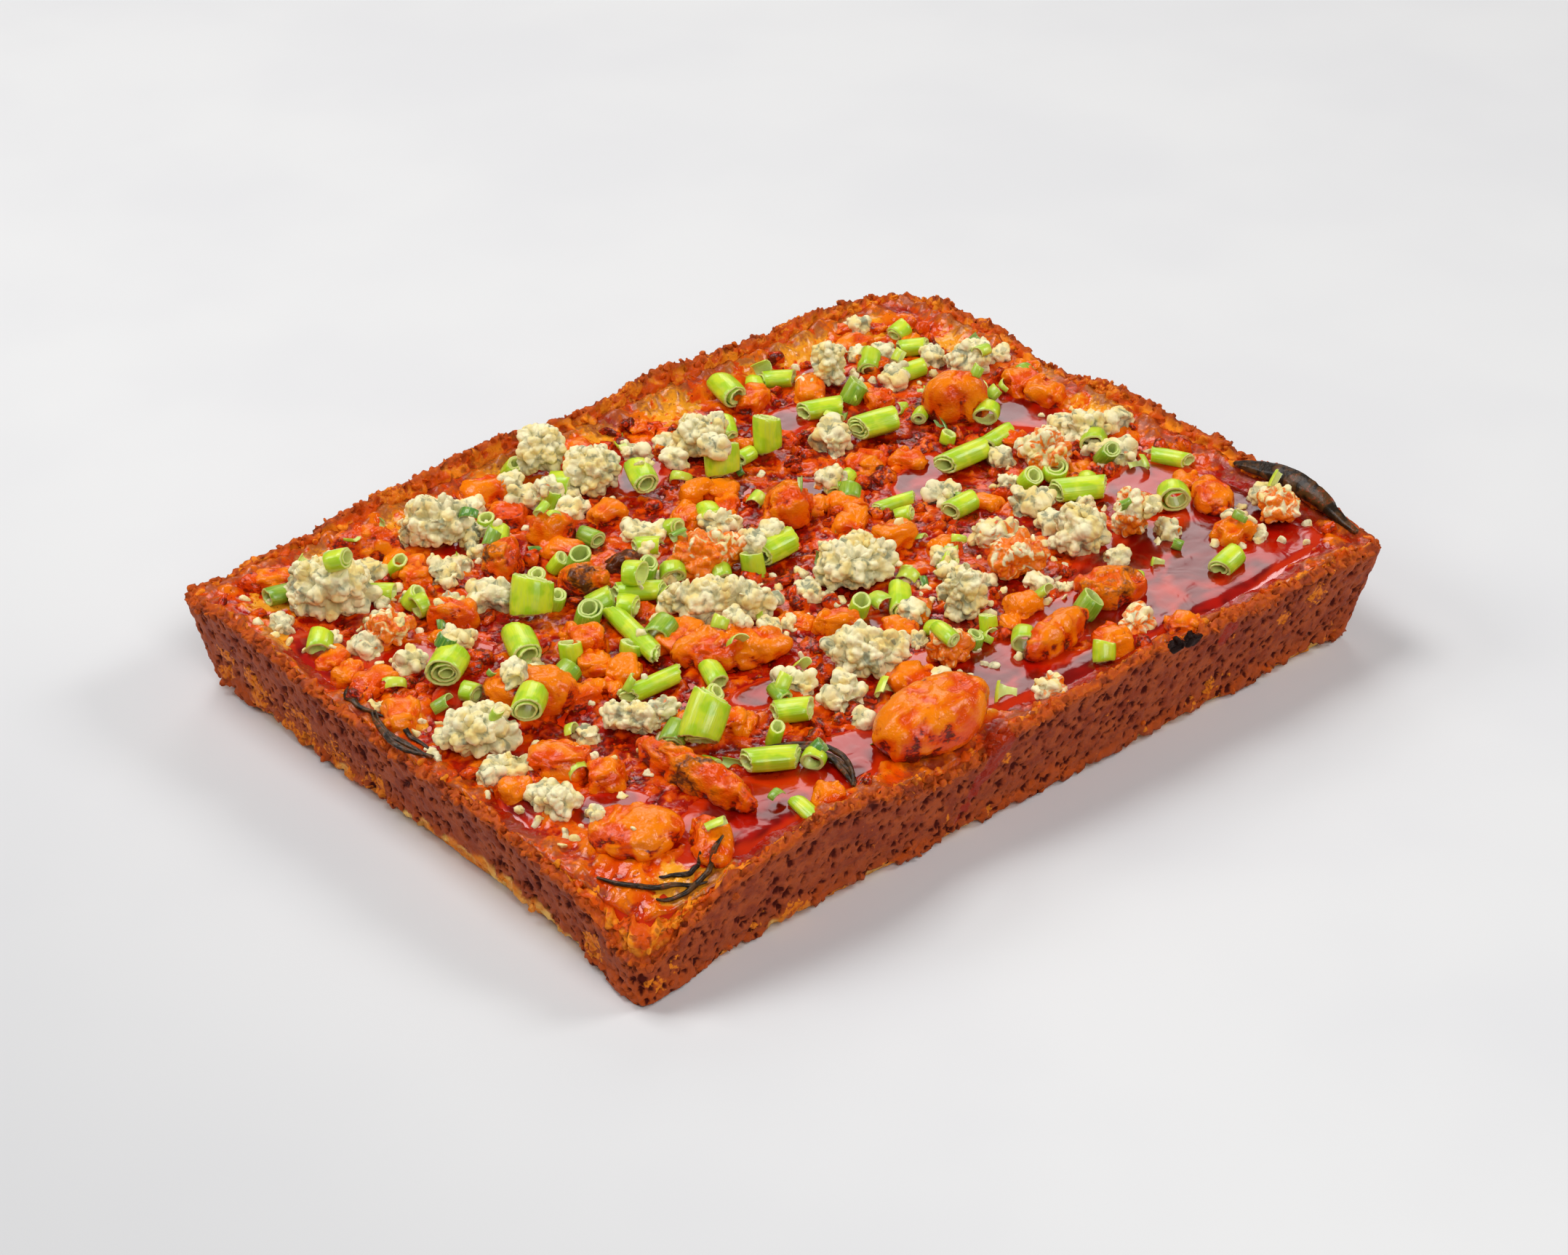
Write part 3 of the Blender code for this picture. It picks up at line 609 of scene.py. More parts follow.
@dataclass(frozen=True)
class CharredOnion(Finish):
    """Onion charred almost black, with brown showing along its edges."""

    name: str = "charred_onion"
    roughness: float = 0.36
    coat: float = 0.1
    specular: float = 0.2
    black: Colour = srgb(36, 24, 12)
    olive: Colour = srgb(84, 54, 24)
    brown: Colour = srgb(134, 58, 24)

    def paint(self, graph: Graph, shader: bpy.types.Node) -> None:
        """Mottles black with olive and brown."""
        where = self.rest(graph)
        broad = graph.cloud(where, 4 * MM, 3, 1.0)
        fine = graph.cloud(where, 0.8 * MM, 3)
        colour = graph.mix(broad.ramp(0.42, 0.6), self.black, self.olive)
        colour = graph.mix((broad * 0.5 + fine * 0.5).ramp(0.56, 0.66), colour, self.brown)
        graph.feed(shader.inputs["Base Color"], colour)
        self.bump(graph, shader, broad * 0.5 + fine * 0.5, 0.4 * MM, 0.8)


@dataclass(frozen=True)
class PaleFloor(Finish):
    """A pale studio floor, with painted shade that darkens it towards -X."""

    name: str = "pale_floor"
    roughness: float = 0.75
    grey: Colour = srgb(226, 226, 226)
    shade: Colour = srgb(222, 222, 223)
    # painted shade: the darker grey that the floor takes towards -X
    near: Colour = srgb(204, 204, 205)

    def paint(self, graph: Graph, shader: bpy.types.Node) -> None:
        """Varies the grey very slightly, and darkens it towards -X as painted shade."""
        cloud = graph.cloud(self.place(graph), 0.12, 3)
        colour = graph.mix(cloud.ramp(0.35, 0.65), self.grey, self.shade)
        # Painted shade: the floor darkens towards -X.
        across = graph.node("ShaderNodeSeparateXYZ", {}, {"Vector": self.place(graph)}, "X")
        colour = graph.mix(across.ramp(-0.05, -0.34), colour, self.near)
        graph.feed(shader.inputs["Base Color"], colour)


# ---- Meshes and geometry trees


class Taste(Enum):
    """How a piece of chicken was cooked."""

    SAUCED = (0.0, 0.0)
    PALE = (0.0, 0.9)
    EDGED = (0.3, 0.2)
    CHARRED = (0.42, 0.3)

    @property
    def char(self) -> float:
        """How far it is charred, from 0 to 1."""
        return self.value[0]

    @property
    def pale(self) -> float:
        """How far its bare meat shows, from 0 to 1."""
        return self.value[1]


def linked(name: str, data: bpy.types.Mesh) -> bpy.types.Object:
    """Makes an object of a mesh and links it to the scene."""
    obj = bpy.data.objects.new(name, data)
    bpy.context.scene.collection.objects.link(obj)
    return obj


def mesh_object(name: str, points: np.ndarray, faces: np.ndarray) -> bpy.types.Object:
    """Makes a smooth shaded mesh object from arrays.

    Args:
        name: The object's name.
        points: The vertices, one row each.
        faces: The faces' vertex numbers, one row each, all with as many corners.

    Returns:
        The object, linked to the scene.
    """
    mesh = bpy.data.meshes.new(name)
    corners = faces.shape[1]
    mesh.vertices.add(len(points))
    mesh.vertices.foreach_set("co", np.ascontiguousarray(points, np.float32).ravel())
    mesh.loops.add(faces.size)
    mesh.loops.foreach_set("vertex_index", np.ascontiguousarray(faces, np.int32).ravel())
    mesh.polygons.add(len(faces))
    mesh.polygons.foreach_set("loop_start", np.arange(0, faces.size, corners, dtype=np.int32))
    mesh.update(calc_edges=True)
    mesh.shade_smooth()
    return linked(name, mesh)


def set_values(obj: bpy.types.Object, **values: np.ndarray | float) -> None:
    """Stores values on a mesh's vertices, such as masks that its finish reads."""
    count = len(obj.data.vertices)
    for name, value in values.items():
        layer = obj.data.attributes.new(name, "FLOAT", "POINT")
        layer.data.foreach_set("value", np.broadcast_to(value, count).astype(np.float32))


def set_vectors(obj: bpy.types.Object, name: str, vectors: np.ndarray) -> None:
    """Stores a vector on each of a mesh's vertices."""
    layer = obj.data.attributes.new(name, "FLOAT_VECTOR", "POINT")
    layer.data.foreach_set("vector", np.ascontiguousarray(vectors, np.float32).ravel())


def grid_faces(rows: int, columns: int, closed: bool) -> np.ndarray:
    """Quads between the rows of a grid whose vertices are numbered row by row.

    Args:
        rows, columns: The grid's size.
        closed: Whether the last column joins the first.

    Returns:
        The quads, which face up where rows run along +Y and columns along +X.
    """
    last = columns if closed else columns - 1
    low = np.arange(rows - 1)[:, None] * columns
    here = np.arange(last)[None, :]
    after = (here + 1) % columns
    quads = np.stack([low + here, low + after, low + columns + after, low + columns + here], -1)
    return quads.reshape(-1, 4)


def ripple(x: np.ndarray, y: np.ndarray, size: float, seed: int) -> np.ndarray:
    """Smooth seeded noise over the plan, between about -1 and 1, with lumps about size across."""
    table = np.random.default_rng(seed).uniform(-1, 1, (64, 64))
    across, along = np.asarray(x) / size + 31.4, np.asarray(y) / size + 27.9
    left, low = np.floor(across).astype(int), np.floor(along).astype(int)
    part_x, part_y = across - left, along - low
    part_x = part_x * part_x * (3 - 2 * part_x)
    part_y = part_y * part_y * (3 - 2 * part_y)

    def corner(step_x: int, step_y: int) -> np.ndarray:
        """The table's value at a corner of each place's cell."""
        return table[(left + step_x) % 64, (low + step_y) % 64]

    near = corner(0, 0) * (1 - part_x) + corner(1, 0) * part_x
    far = corner(0, 1) * (1 - part_x) + corner(1, 1) * part_x
    return near * (1 - part_y) + far * part_y


def waves(x: np.ndarray, y: np.ndarray, size: float, seed: float) -> np.ndarray:
    """The noise that shapes the CAD model's rim and layer, over arrays of plan places."""
    flat = zip(np.ravel(x) / size, np.ravel(y) / size)
    found = [noise.noise(Vector((across, along, seed))) for across, along in flat]
    return np.array(found).reshape(np.shape(x))


class Relief:
    """A geometry tree that takes a mesh, gives it relief and a finish, and is applied as one modifier."""

    def __init__(self, name: str, inputs: dict[str, float]) -> None:
        """Starts the tree.

        Args:
            name: The tree's name.
            inputs: Its named number inputs and their defaults.
        """
        self.tree = bpy.data.node_groups.new(name, "GeometryNodeTree")
        self.tree.is_modifier = True
        face = self.tree.interface
        face.new_socket("Geometry", in_out="INPUT", socket_type="NodeSocketGeometry")
        for label, default in inputs.items():
            kind = "NodeSocketInt" if isinstance(default, int) else "NodeSocketFloat"
            face.new_socket(label, in_out="INPUT", socket_type=kind).default_value = default
        face.new_socket("Finish", in_out="INPUT", socket_type="NodeSocketMaterial")
        face.new_socket("Geometry", in_out="OUTPUT", socket_type="NodeSocketGeometry")
        self.graph = Graph(self.tree)
        self.group = self.tree.nodes.new("NodeGroupInput")
        self.shape = self.input("Geometry")

    def input(self, label: str) -> Value:
        """One of the tree's inputs."""
        return Value(self.graph, self.group.outputs[label])

    def position(self) -> Value:
        """Where each vertex is."""
        return self.graph.node("GeometryNodeInputPosition")

    def at_rest(self) -> Value:
        """Where each vertex is before its relief, which is also stored for the finish."""
        where = self.position()
        self.store("rest", where, "FLOAT_VECTOR")
        return where

    def named(self, name: str, kind: str = "FLOAT") -> Value:
        """One of the mesh's own values."""
        settings = {"data_type": kind}
        return self.graph.node("GeometryNodeInputNamedAttribute", settings, {"Name": name}, "Attribute")

    def store(self, name: str, value: object, kind: str = "FLOAT") -> None:
        """Stores a value on the mesh's vertices."""
        settings = {"data_type": kind, "domain": "POINT"}
        sockets = {"Geometry": self.shape, "Name": name, "Value": value}
        self.shape = self.graph.node("GeometryNodeStoreNamedAttribute", settings, sockets)

    def smooth(self, levels: Value | int) -> None:
        """Rounds the mesh by subdivision."""
        self.shape = self.graph.node("GeometryNodeSubdivisionSurface", {}, {0: self.shape, "Level": levels})

    def cut(self, levels: Value | int) -> None:
        """Divides the mesh's faces without rounding it."""
        self.shape = self.graph.node("GeometryNodeSubdivideMesh", {}, {0: self.shape, "Level": levels})

    def moved(self, offset: Value) -> None:
        """Moves each vertex by a vector."""
        sockets = {"Geometry": self.shape, "Offset": offset}
        self.shape = self.graph.node("GeometryNodeSetPosition", {}, sockets)

    def raised(self, height: Value) -> None:
        """Moves each vertex along its normal."""
        self.moved(self.graph.vector("SCALE", self.graph.node("GeometryNodeInputNormal"), height))

    def lifted(self, height: Value) -> None:
        """Moves each vertex up."""
        self.moved(self.graph.node("ShaderNodeCombineXYZ", {}, {"Z": height}))

    def end(self) -> None:
        """Closes the tree with real geometry and the finish."""
        real = self.graph.node("GeometryNodeRealizeInstances", {}, {"Geometry": self.shape})
        sockets = {"Geometry": real, "Material": self.input("Finish")}
        dressed = self.graph.node("GeometryNodeSetMaterial", {}, sockets)
        sockets = {"Geometry": dressed, "Shade Smooth": True}
        shaded = self.graph.node("GeometryNodeSetShadeSmooth", {}, sockets)
        out = self.tree.nodes.new("NodeGroupOutput")
        self.tree.links.new(shaded.socket, out.inputs["Geometry"])

    def apply(self, obj: bpy.types.Object, finish: Finish, **values: float) -> bpy.types.Object:
        """Runs the tree on an object and keeps the result as its plain mesh.

        Args:
            obj: The object.
            finish: The finish that its faces get.
            values: The tree's inputs, with underscores for spaces.

        Returns:
            The same object.
        """
        modifier = obj.modifiers.new(self.tree.name, "NODES")
        modifier.node_group = self.tree
        inputs = [item for item in self.tree.interface.items_tree if item.in_out == "INPUT"]
        sockets = {item.name: item.identifier for item in inputs}
        modifier[sockets["Finish"]] = finish.material()
        for label, value in values.items():
            modifier[sockets[label.replace("_", " ")]] = value
        bpy.context.view_layer.update()
        evaluated = obj.evaluated_get(bpy.context.evaluated_depsgraph_get())
        made = bpy.data.meshes.new_from_object(evaluated)
        obj.modifiers.clear()
        old, obj.data = obj.data, made
        bpy.data.meshes.remove(old)
        made.name = obj.name
        return obj


def keep(obj: bpy.types.Object, slot: str, *nodes: str) -> bpy.types.Object:
    """Hands a finished piece to the frame.

    Args:
        obj: The piece.
        slot: The record's material slot; not used.
        nodes: The CAD nodes that it stands for.

    Returns:
        The piece.
    """
    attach(obj, "root")
    if nodes:
        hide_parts(*nodes)
    faces = sum(len(face.vertices) - 2 for face in obj.data.polygons)
    LOG.info("%s: %d triangles, stands for %s", obj.name, faces, ", ".join(nodes) or "nothing")
    return obj


def node_copy(node: str, name: str) -> bpy.types.Object:
    """Copies a CAD node's mesh into a new object, with its vertices merged and its triangles paired."""
    mesh = bmesh.new()
    mesh.from_mesh(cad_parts[node].data)
    bmesh.ops.remove_doubles(mesh, verts=mesh.verts, dist=0.02 * MM)
    bmesh.ops.join_triangles(
        mesh, faces=mesh.faces, angle_face_threshold=math.radians(50), angle_shape_threshold=math.radians(60)
    )
    data = bpy.data.meshes.new(name)
    mesh.to_mesh(data)
    mesh.free()
    return linked(name, data)


def joined(name: str, parts: list[bpy.types.Object]) -> bpy.types.Object:
    """Joins mesh objects into one, which gets the name."""
    with bpy.context.temp_override(active_object=parts[0], selected_editable_objects=parts, object=parts[0]):
        bpy.ops.object.join()
    parts[0].name = name
    parts[0].data.name = name
    return parts[0]


# ---- The pan's form, which the crust and the layer share


@dataclass(frozen=True)
class PanForm:
    """The sizes of the CAD model's crust and layer, and the heights that follow from them."""

    length: float = 253 * MM
    width: float = 190 * MM
    wall_height: float = 32 * MM
    taper: float = 7.4 * MM
    corner_radius: float = 6.5 * MM
    rim_front: tuple[float, ...] = (29, 28.5, 31, 24.5, 29.5, 32.5, 31.5, 31.5)
    rim_right: tuple[float, ...] = (29, 34.5, 34, 35, 32, 34.5)
    rim_back: tuple[float, ...] = (33, 35.5, 35, 36.5, 34, 34.5, 32.5, 29)
    rim_left: tuple[float, ...] = (27, 31, 26.5, 25, 25.5, 25)
    rim_crags: float = 1.3 * MM
    corner_reach: float = 22 * MM
    corner_sink: float = 15 * MM
    corner_chamfer: float = 8 * MM
    corner_toe: float = 0.5
    layer_corner_sink: float = 7 * MM
    layer_height: float = 27.3 * MM
    layer_tilt: float = 2.6 * MM
    layer_waves: float = 0.7 * MM
    layer_wave_length: float = 46 * MM
    layer_edge_inset: float = 5.1 * MM
    layer_edge_least: float = 18.5 * MM
    layer_climb: float = 0.5

    def plan(self, u: np.ndarray, v: np.ndarray, inset: np.ndarray | float) -> tuple[np.ndarray, np.ndarray]:
        """The plan place of a station of the rounded rectangle.

        Args:
            u, v: The station, from -1 to 1 along X and Y.
            inset: How far the outline stands inside the rim's.

        Returns:
            X and Y.
        """
        half_length, half_width = self.length / 2 - inset, self.width / 2 - inset
        radius = np.maximum(self.corner_radius - inset, 3 * MM)
        x, y = np.abs(u) * half_length, np.abs(v) * half_width
        past_x = np.maximum(x - half_length + radius, 0)
        past_y = np.maximum(y - half_width + radius, 0)
        reach = np.hypot(past_x, past_y)
        both = (past_x > 0) & (past_y > 0)
        rounding = np.where(both, np.maximum(past_x, past_y) / np.where(both, reach, 1), 1)
        x, y = x + past_x * (rounding - 1), y + past_y * (rounding - 1)
        return np.copysign(x, u), np.copysign(y, v)

    def corner_share(self, x: np.ndarray, y: np.ndarray) -> np.ndarray:
        """How far places have a share in the sunken front left corner, from 0 to 1."""
        return np.exp(-((np.hypot(x + self.length / 2, y + self.width / 2) / self.corner_reach) ** 2))

    def chamfered(self, x: np.ndarray, y: np.ndarray) -> tuple[np.ndarray, np.ndarray]:
        """Plan places inside the rim, pushed away from the sunken corner."""
        push = self.corner_chamfer * self.corner_share(x, y) / math.sqrt(2)
        return x + push, y + push

    def rim(self, u: np.ndarray, v: np.ndarray) -> np.ndarray:
        """Heights of the rim's crest at stations on the edge."""
        starts = [self.rim_front, self.rim_right, self.rim_back, self.rim_left]
        sides = [v == -1, (u == 1) & (v > -1), (v == 1) & (u < 1), (u == -1) & (v < 1) & (v > -1)]
        shares = [(u + 1) / 2, (v + 1) / 2, (1 - u) / 2, (1 - v) / 2]
        height = np.zeros(np.shape(u))
        for number, (side, share) in enumerate(zip(sides, shares)):
            steps = np.array(starts[number] + starts[(number + 1) % 4][:1])
            place = share * (len(steps) - 1)
            low = np.clip(place.astype(int), 0, len(steps) - 2)
            blend = place - low
            blend = blend * blend * (3 - 2 * blend)
            height = np.where(side, steps[low] + (steps[low + 1] - steps[low]) * blend, height)
        x, y = self.plan(u, v, 0.0)
        crags = waves(x, y, 17 * MM, 3.1) + 0.8 * waves(x, y, 8 * MM, 7.7)
        return height * MM + self.rim_crags * crags - self.corner_sink * self.corner_share(x, y)

    def layer(self, x: np.ndarray, y: np.ndarray) -> np.ndarray:
        """Heights of the melted cheese's top, away from the rim."""
        swell = self.layer_waves * waves(x, y, self.layer_wave_length, 5.5)
        tilt = self.layer_tilt * x / (self.length / 2)
        return self.layer_height + tilt + swell - self.layer_corner_sink * self.corner_share(x, y)

    def edge(self, u: np.ndarray, v: np.ndarray) -> np.ndarray:
        """Heights of the layer's edge at stations on the edge."""
        level = self.layer(*self.chamfered(*self.plan(u, v, self.layer_edge_inset)))
        return np.maximum(level + self.layer_climb * (self.rim(u, v) - level), self.layer_edge_least)


FORM = PanForm()


@dataclass(frozen=True)
class Spot:
    """A patch of colour on the crust or the layer: its middle and its reach, in millimetres."""

    x: float
    y: float
    z: float
    reach: float

    def share(self, points: np.ndarray) -> np.ndarray:
        """How far each point lies in the patch, from 0 to 1."""
        away = np.linalg.norm(points / MM - np.array((self.x, self.y, self.z)), axis=1) / self.reach
        return np.exp(-(away**4))


def spots_share(spots: tuple[Spot, ...], points: np.ndarray) -> np.ndarray:
    """How far each point lies in any of some patches."""
    return np.max([spot.share(points) for spot in spots], axis=0)


# ---- Crust


@dataclass(frozen=True)
class Crust:
    """The bread and its browned cheese wall: a closed tray with a pitted wall and a craggy crest."""

    steps_along: int = 337
    steps_across: int = 253
    foot_inset: float = 11 * MM
    foot_round_inset: float = 9 * MM
    foot_round_height: float = 0.5 * MM
    bread_tuck: float = 1.4 * MM
    bread_tuck_rise: float = 0.6 * MM
    skirt_height: float = 1.9 * MM
    skirt_ragged: float = 1.5 * MM
    skirt_least: float = 0.4 * MM
    skirt_lift: float = 3.2 * MM
    skirt_lift_middle: float = -32 * MM
    skirt_lift_reach: float = 36 * MM
    wall_waves: float = 0.5 * MM
    low_bend: float = 0.42
    high_bend: float = 0.74
    shoulder: float = 1.2 * MM
    top_inset: float = 1.9 * MM
    inner_inset: float = 4.0 * MM
    tray_inset: float = 6.0 * MM
    tray_height: float = 16.5 * MM
    rows: tuple[int, ...] = (1, 3, 3, 17, 15, 12, 4, 7, 3)
    skirt_level: int = 3
    inner_level: int = 8
    crumb: float = 1.05 * MM
    crumb_density: float = 80000.0
    finish: Finish = BrownedCrust()
    amber_and_lit_spots: tuple[Spot, ...] = (
        Spot(66, -92, 7, 6), Spot(75, -94, 10, 4), Spot(59, -92, 5, 4), Spot(26, -92, 5, 4),
        Spot(-12, -90, 3, 3), Spot(-47, -91, 3, 4), Spot(-86, -91, 6, 4), Spot(-74, -90, 3, 6),
        Spot(-121, 80, 8, 4), Spot(-121, 50, 3, 8), Spot(-121, 66, 2, 6), Spot(-120, 30, 3, 6),
        Spot(-121, -74, 8, 6), Spot(-119, -88, 6, 5), Spot(-112, -93, 8, 4), Spot(100, -93, 25, 6),
        Spot(88, -94, 20, 4), Spot(-10, -91, 20, 3), Spot(110, -92, 6, 5), Spot(42, -91, 4, 3),
        Spot(-123, 64, 9, 9), Spot(-122, 46, 8, 9), Spot(-122, 30, 7, 8), Spot(-121, 14, 6, 7),
        # From Spot(-106, 91, 30, 8) on, the spots on the far rims' crest are partly amber cheese and partly
        # painted light that brightens its shaded side.
        Spot(-123, 78, 12, 6), Spot(-106, 91, 30, 8), Spot(-60, 92, 31, 7), Spot(-28, 92, 31, 5),
        Spot(20, 92, 32, 8), Spot(80, 92, 33, 9), Spot(122, 60, 33, 7), Spot(122, 10, 32, 8),
        Spot(122, -28, 32, 5), Spot(52, 92, 32, 5), Spot(122, 84, 33, 6),
    )
    bread_spots: tuple[Spot, ...] = (
        Spot(-119, -60, 1, 5), Spot(-119, -51, 1.5, 7), Spot(-119, -40, 2, 7), Spot(-119, -29, 2, 7),
        Spot(-119, -18, 2, 7), Spot(-119, -7, 1.5, 6), Spot(-119, 2, 1, 4), Spot(-120, 29, 2, 4),
        Spot(-73, -91, 1, 5), Spot(-79, -91, 1, 5),
    )
    burnt_spots: tuple[Spot, ...] = (
        Spot(46, -95, 31, 4), Spot(52, -95, 31, 4), Spot(20, -91, 4, 3), Spot(126, -70, 35, 3),
    )
    drip_spots: tuple[Spot, ...] = (
        Spot(-13, -94, 26, 5), Spot(-14, -93.5, 21, 4), Spot(-17, -93, 17, 3.5), Spot(-19, -92.5, 13, 3),
        Spot(-21, -92, 9, 3), Spot(-23, -91.5, 6, 3), Spot(66, -94, 27, 3), Spot(65, -93.5, 24, 2.5),
    )

    def stations(self) -> tuple[np.ndarray, np.ndarray]:
        """The stations round the edge, anticlockwise from the front left corner."""
        along = -1 + 2 * np.arange(self.steps_along) / self.steps_along
        across = -1 + 2 * np.arange(self.steps_across) / self.steps_across
        ones_along, ones_across = np.ones(self.steps_along), np.ones(self.steps_across)
        u = np.concatenate([along, ones_across, -along, -ones_across])
        v = np.concatenate([-ones_along, across, ones_along, -across])
        return u, v

    def skirt(self, x: np.ndarray, y: np.ndarray) -> np.ndarray:
        """Height of the browned wall's ragged lower edge."""
        corner = FORM.corner_share(x, y)
        ragged = self.skirt_ragged * np.tanh(3 * waves(x, y, 10 * MM, 11.3))
        ragged = ragged + 0.9 * MM * waves(x, y, 3.1 * MM, 4.4)
        height = (self.skirt_height + ragged + 0.4 * MM * waves(x, y, 1.3 * MM, 9.1)) * (1 - corner)
        lift = self.skirt_lift * np.exp(-(((y - self.skirt_lift_middle) / self.skirt_lift_reach) ** 4))
        height += np.where(x < -FORM.length / 2 + FORM.corner_radius, lift, 0)
        return np.maximum(height, self.skirt_least)

    def profile(self, u: np.ndarray, v: np.ndarray) -> list[tuple[np.ndarray, np.ndarray]]:
        """Insets and heights of the profile's bends at each station, from the underside to the tray."""
        x, y = FORM.plan(u, v, 0.0)
        rim, skirt = FORM.rim(u, v), self.skirt(x, y)
        bulge = self.wall_waves * waves(x, y, 21 * MM, 1.9)
        taper = FORM.taper * (1 - FORM.corner_toe * FORM.corner_share(x, y))

        def wall(height: np.ndarray | float) -> np.ndarray:
            """How far the flared wall stands inside the rim's outline."""
            return taper * (1 - height / FORM.wall_height)

        flat = np.zeros(len(u))
        return [
            (wall(0) - FORM.taper + self.foot_inset, flat),
            (wall(0) - FORM.taper + self.foot_round_inset, flat + self.foot_round_height),
            (wall(skirt) + self.bread_tuck, skirt + self.bread_tuck_rise),
            (wall(skirt), skirt),
            (wall(self.low_bend * rim) + bulge, self.low_bend * rim),
            (wall(self.high_bend * rim) - bulge, self.high_bend * rim),
            (wall(rim), rim - self.shoulder),
            (wall(rim) + self.top_inset, rim),
            (flat + self.inner_inset, FORM.edge(u, v)),
            (flat + self.tray_inset, flat + self.tray_height),
        ]

    def shell(self) -> bpy.types.Object:
        """The smooth tray, with the masks that its relief and finish read."""
        u, v = self.stations()
        bends = self.profile(u, v)
        insets, heights, levels = [], [], []
        for number, count in enumerate(self.rows):
            (inset, height), (next_inset, next_height) = bends[number], bends[number + 1]
            for step in range(count):
                insets.append(inset + (next_inset - inset) * step / count)
                heights.append(height + (next_height - height) * step / count)
                levels.append(number + step / count)
        insets.append(bends[-1][0])
        heights.append(bends[-1][1])
        levels.append(float(len(self.rows)))
        level = np.array(levels)[:, None] + np.zeros(len(u))
        x, y = zip(*(FORM.plan(u, v, inset) for inset in insets))
        x, y = np.array(x), np.array(y)
        inner_x, inner_y = FORM.chamfered(x, y)
        inside = level >= self.inner_level
        x, y = np.where(inside, inner_x, x), np.where(inside, inner_y, y)
        points = np.stack([x, y, np.array(heights)], -1).reshape(-1, 3)
        faces = grid_faces(len(insets), len(u), True)
        obj = mesh_object("crust_baked", points, faces)
        self.masks(obj, points, level.ravel(), np.broadcast_to(FORM.rim(u, v), level.shape).ravel())
        self.close(obj, len(u))
        return obj

    def masks(self, obj: bpy.types.Object, points: np.ndarray, level: np.ndarray, rim: np.ndarray) -> None:
        """Stores where the mesh is bread, foot, crest, inner side, amber, burnt or under a drip.

        Args:
            obj: The tray.
            points: Its vertices.
            level: Each vertex's place in the profile, counted in bends from the underside.
            rim: The height of the rim's crest above each vertex.
        """
        height, below, wall = points[:, 2], rim - points[:, 2], level > self.skirt_level + 1
        bread = 4 * spots_share(self.bread_spots, points)
        bread = bread + waves(points[:, 0], points[:, 1], 5 * MM, 2.7) - 1.6
        lowest = (level > self.skirt_level) * (level < self.skirt_level + 2)
        foot = np.exp(-((height / (4 * MM)) ** 2)) * lowest
        crumbly = np.exp(-((below / (2.2 * MM)) ** 2)) * wall * (level < self.inner_level + 0.4)
        set_values(
            obj,
            dough=np.maximum(np.clip(self.skirt_level - level, 0, 1), np.clip(bread, 0, 1)),
            crest=np.exp(-((below / (2.6 * MM)) ** 2)) * wall * (level < self.inner_level + 0.6),
            inner=np.clip((level - 6.9) * 1.5, 0, 1),
            low=np.exp(-((height / (8 * MM)) ** 2)),
            crumbly=crumbly + 0.35 * foot,
            free=np.clip(height / (1.2 * MM) - 0.3, 0, 1) * np.clip(9.2 - level, 0, 1),
            amber=spots_share(self.amber_and_lit_spots, points),
            burnt=spots_share(self.burnt_spots, points),
            drip=spots_share(self.drip_spots, points),
        )

    def close(self, obj: bpy.types.Object, columns: int) -> None:
        """Closes the underside and the tray's floor with fans round a middle point."""
        mesh = bmesh.new()
        mesh.from_mesh(obj.data)
        mesh.verts.ensure_lookup_table()
        count = len(mesh.verts)
        low, high = mesh.verts[:columns], mesh.verts[count - columns : count]
        for ring, turned in ((low, True), (high, False)):
            pole = mesh.verts.new((0, 0, ring[0].co.z))
            for number, vert in enumerate(ring):
                after = ring[(number + 1) % columns]
                mesh.faces.new((pole, after, vert) if turned else (pole, vert, after))
        mesh.to_mesh(obj.data)
        mesh.free()

    def relief(self) -> Relief:
        """Pits in the wall, crags on the crest and a fine roughness all over."""
        tree = Relief("crust_relief", {"Pit Depth": 0.9 * MM, "Crag Height": 1.7 * MM})
        graph = tree.graph
        where = tree.at_rest()
        crest, free, dough = tree.named("crest"), tree.named("free"), tree.named("dough")
        hole = pits(graph, where) * (1 - dough) * (1 - tree.named("drip"))
        swell = (graph.cloud(where, 9 * MM, 2) - 0.5) * 0.7 * MM
        uneven = swell + (graph.cloud(where, 2.4 * MM, 2) - 0.5) * 0.9 * MM
        crags = (graph.cloud(where, 3.2 * MM, 3, 0.5, 0.65) - 0.47) * crest * tree.input("Crag Height") * 3.0
        plates = graph.cloud(where, 5 * MM, 2, 1.0).ramp(0.47, 0.55) * tree.named("low") * 1.1 * MM
        bubbles = graph.cells(where, 4.2 * MM, "SMOOTH_F1", 0.4).ramp(0.1, 0.6, 1.0, -0.2)
        bubbles = bubbles * tree.named("inner") * 1.3 * MM
        grit = (graph.cloud(where, 1.3 * MM, 2) - 0.5) * 0.7 * MM
        tree.raised((uneven + crags + plates + bubbles + grit - hole * tree.input("Pit Depth")) * free)
        teeth = graph.cells(where, 2.6 * MM).ramp(0.1, 0.6, 1.0, -0.6) * crest * crest * 0.5 * MM
        tree.lifted(teeth * free)
        tree.end()
        return tree

    def build(self) -> None:
        """Builds the crust in place of its CAD node."""
        shell = self.relief().apply(self.shell(), self.finish)
        crumbs = linked("rim_crumbs", shell.data.copy())
        crumbs.data.name = crumbs.name
        tree = Relief("rim_crumb_scatter", {"Crumb": self.crumb, "Density": self.crumb_density, "Seed": 8})
        scatter_lumps(tree, "crumbly", 0.3, 1.4, {"crest": 1.0, "low": 0.6})
        keep(tree.apply(crumbs, self.finish), "browned_crust")
        keep(shell, "browned_crust", "crust")


# ---- Melted cheese and sauce


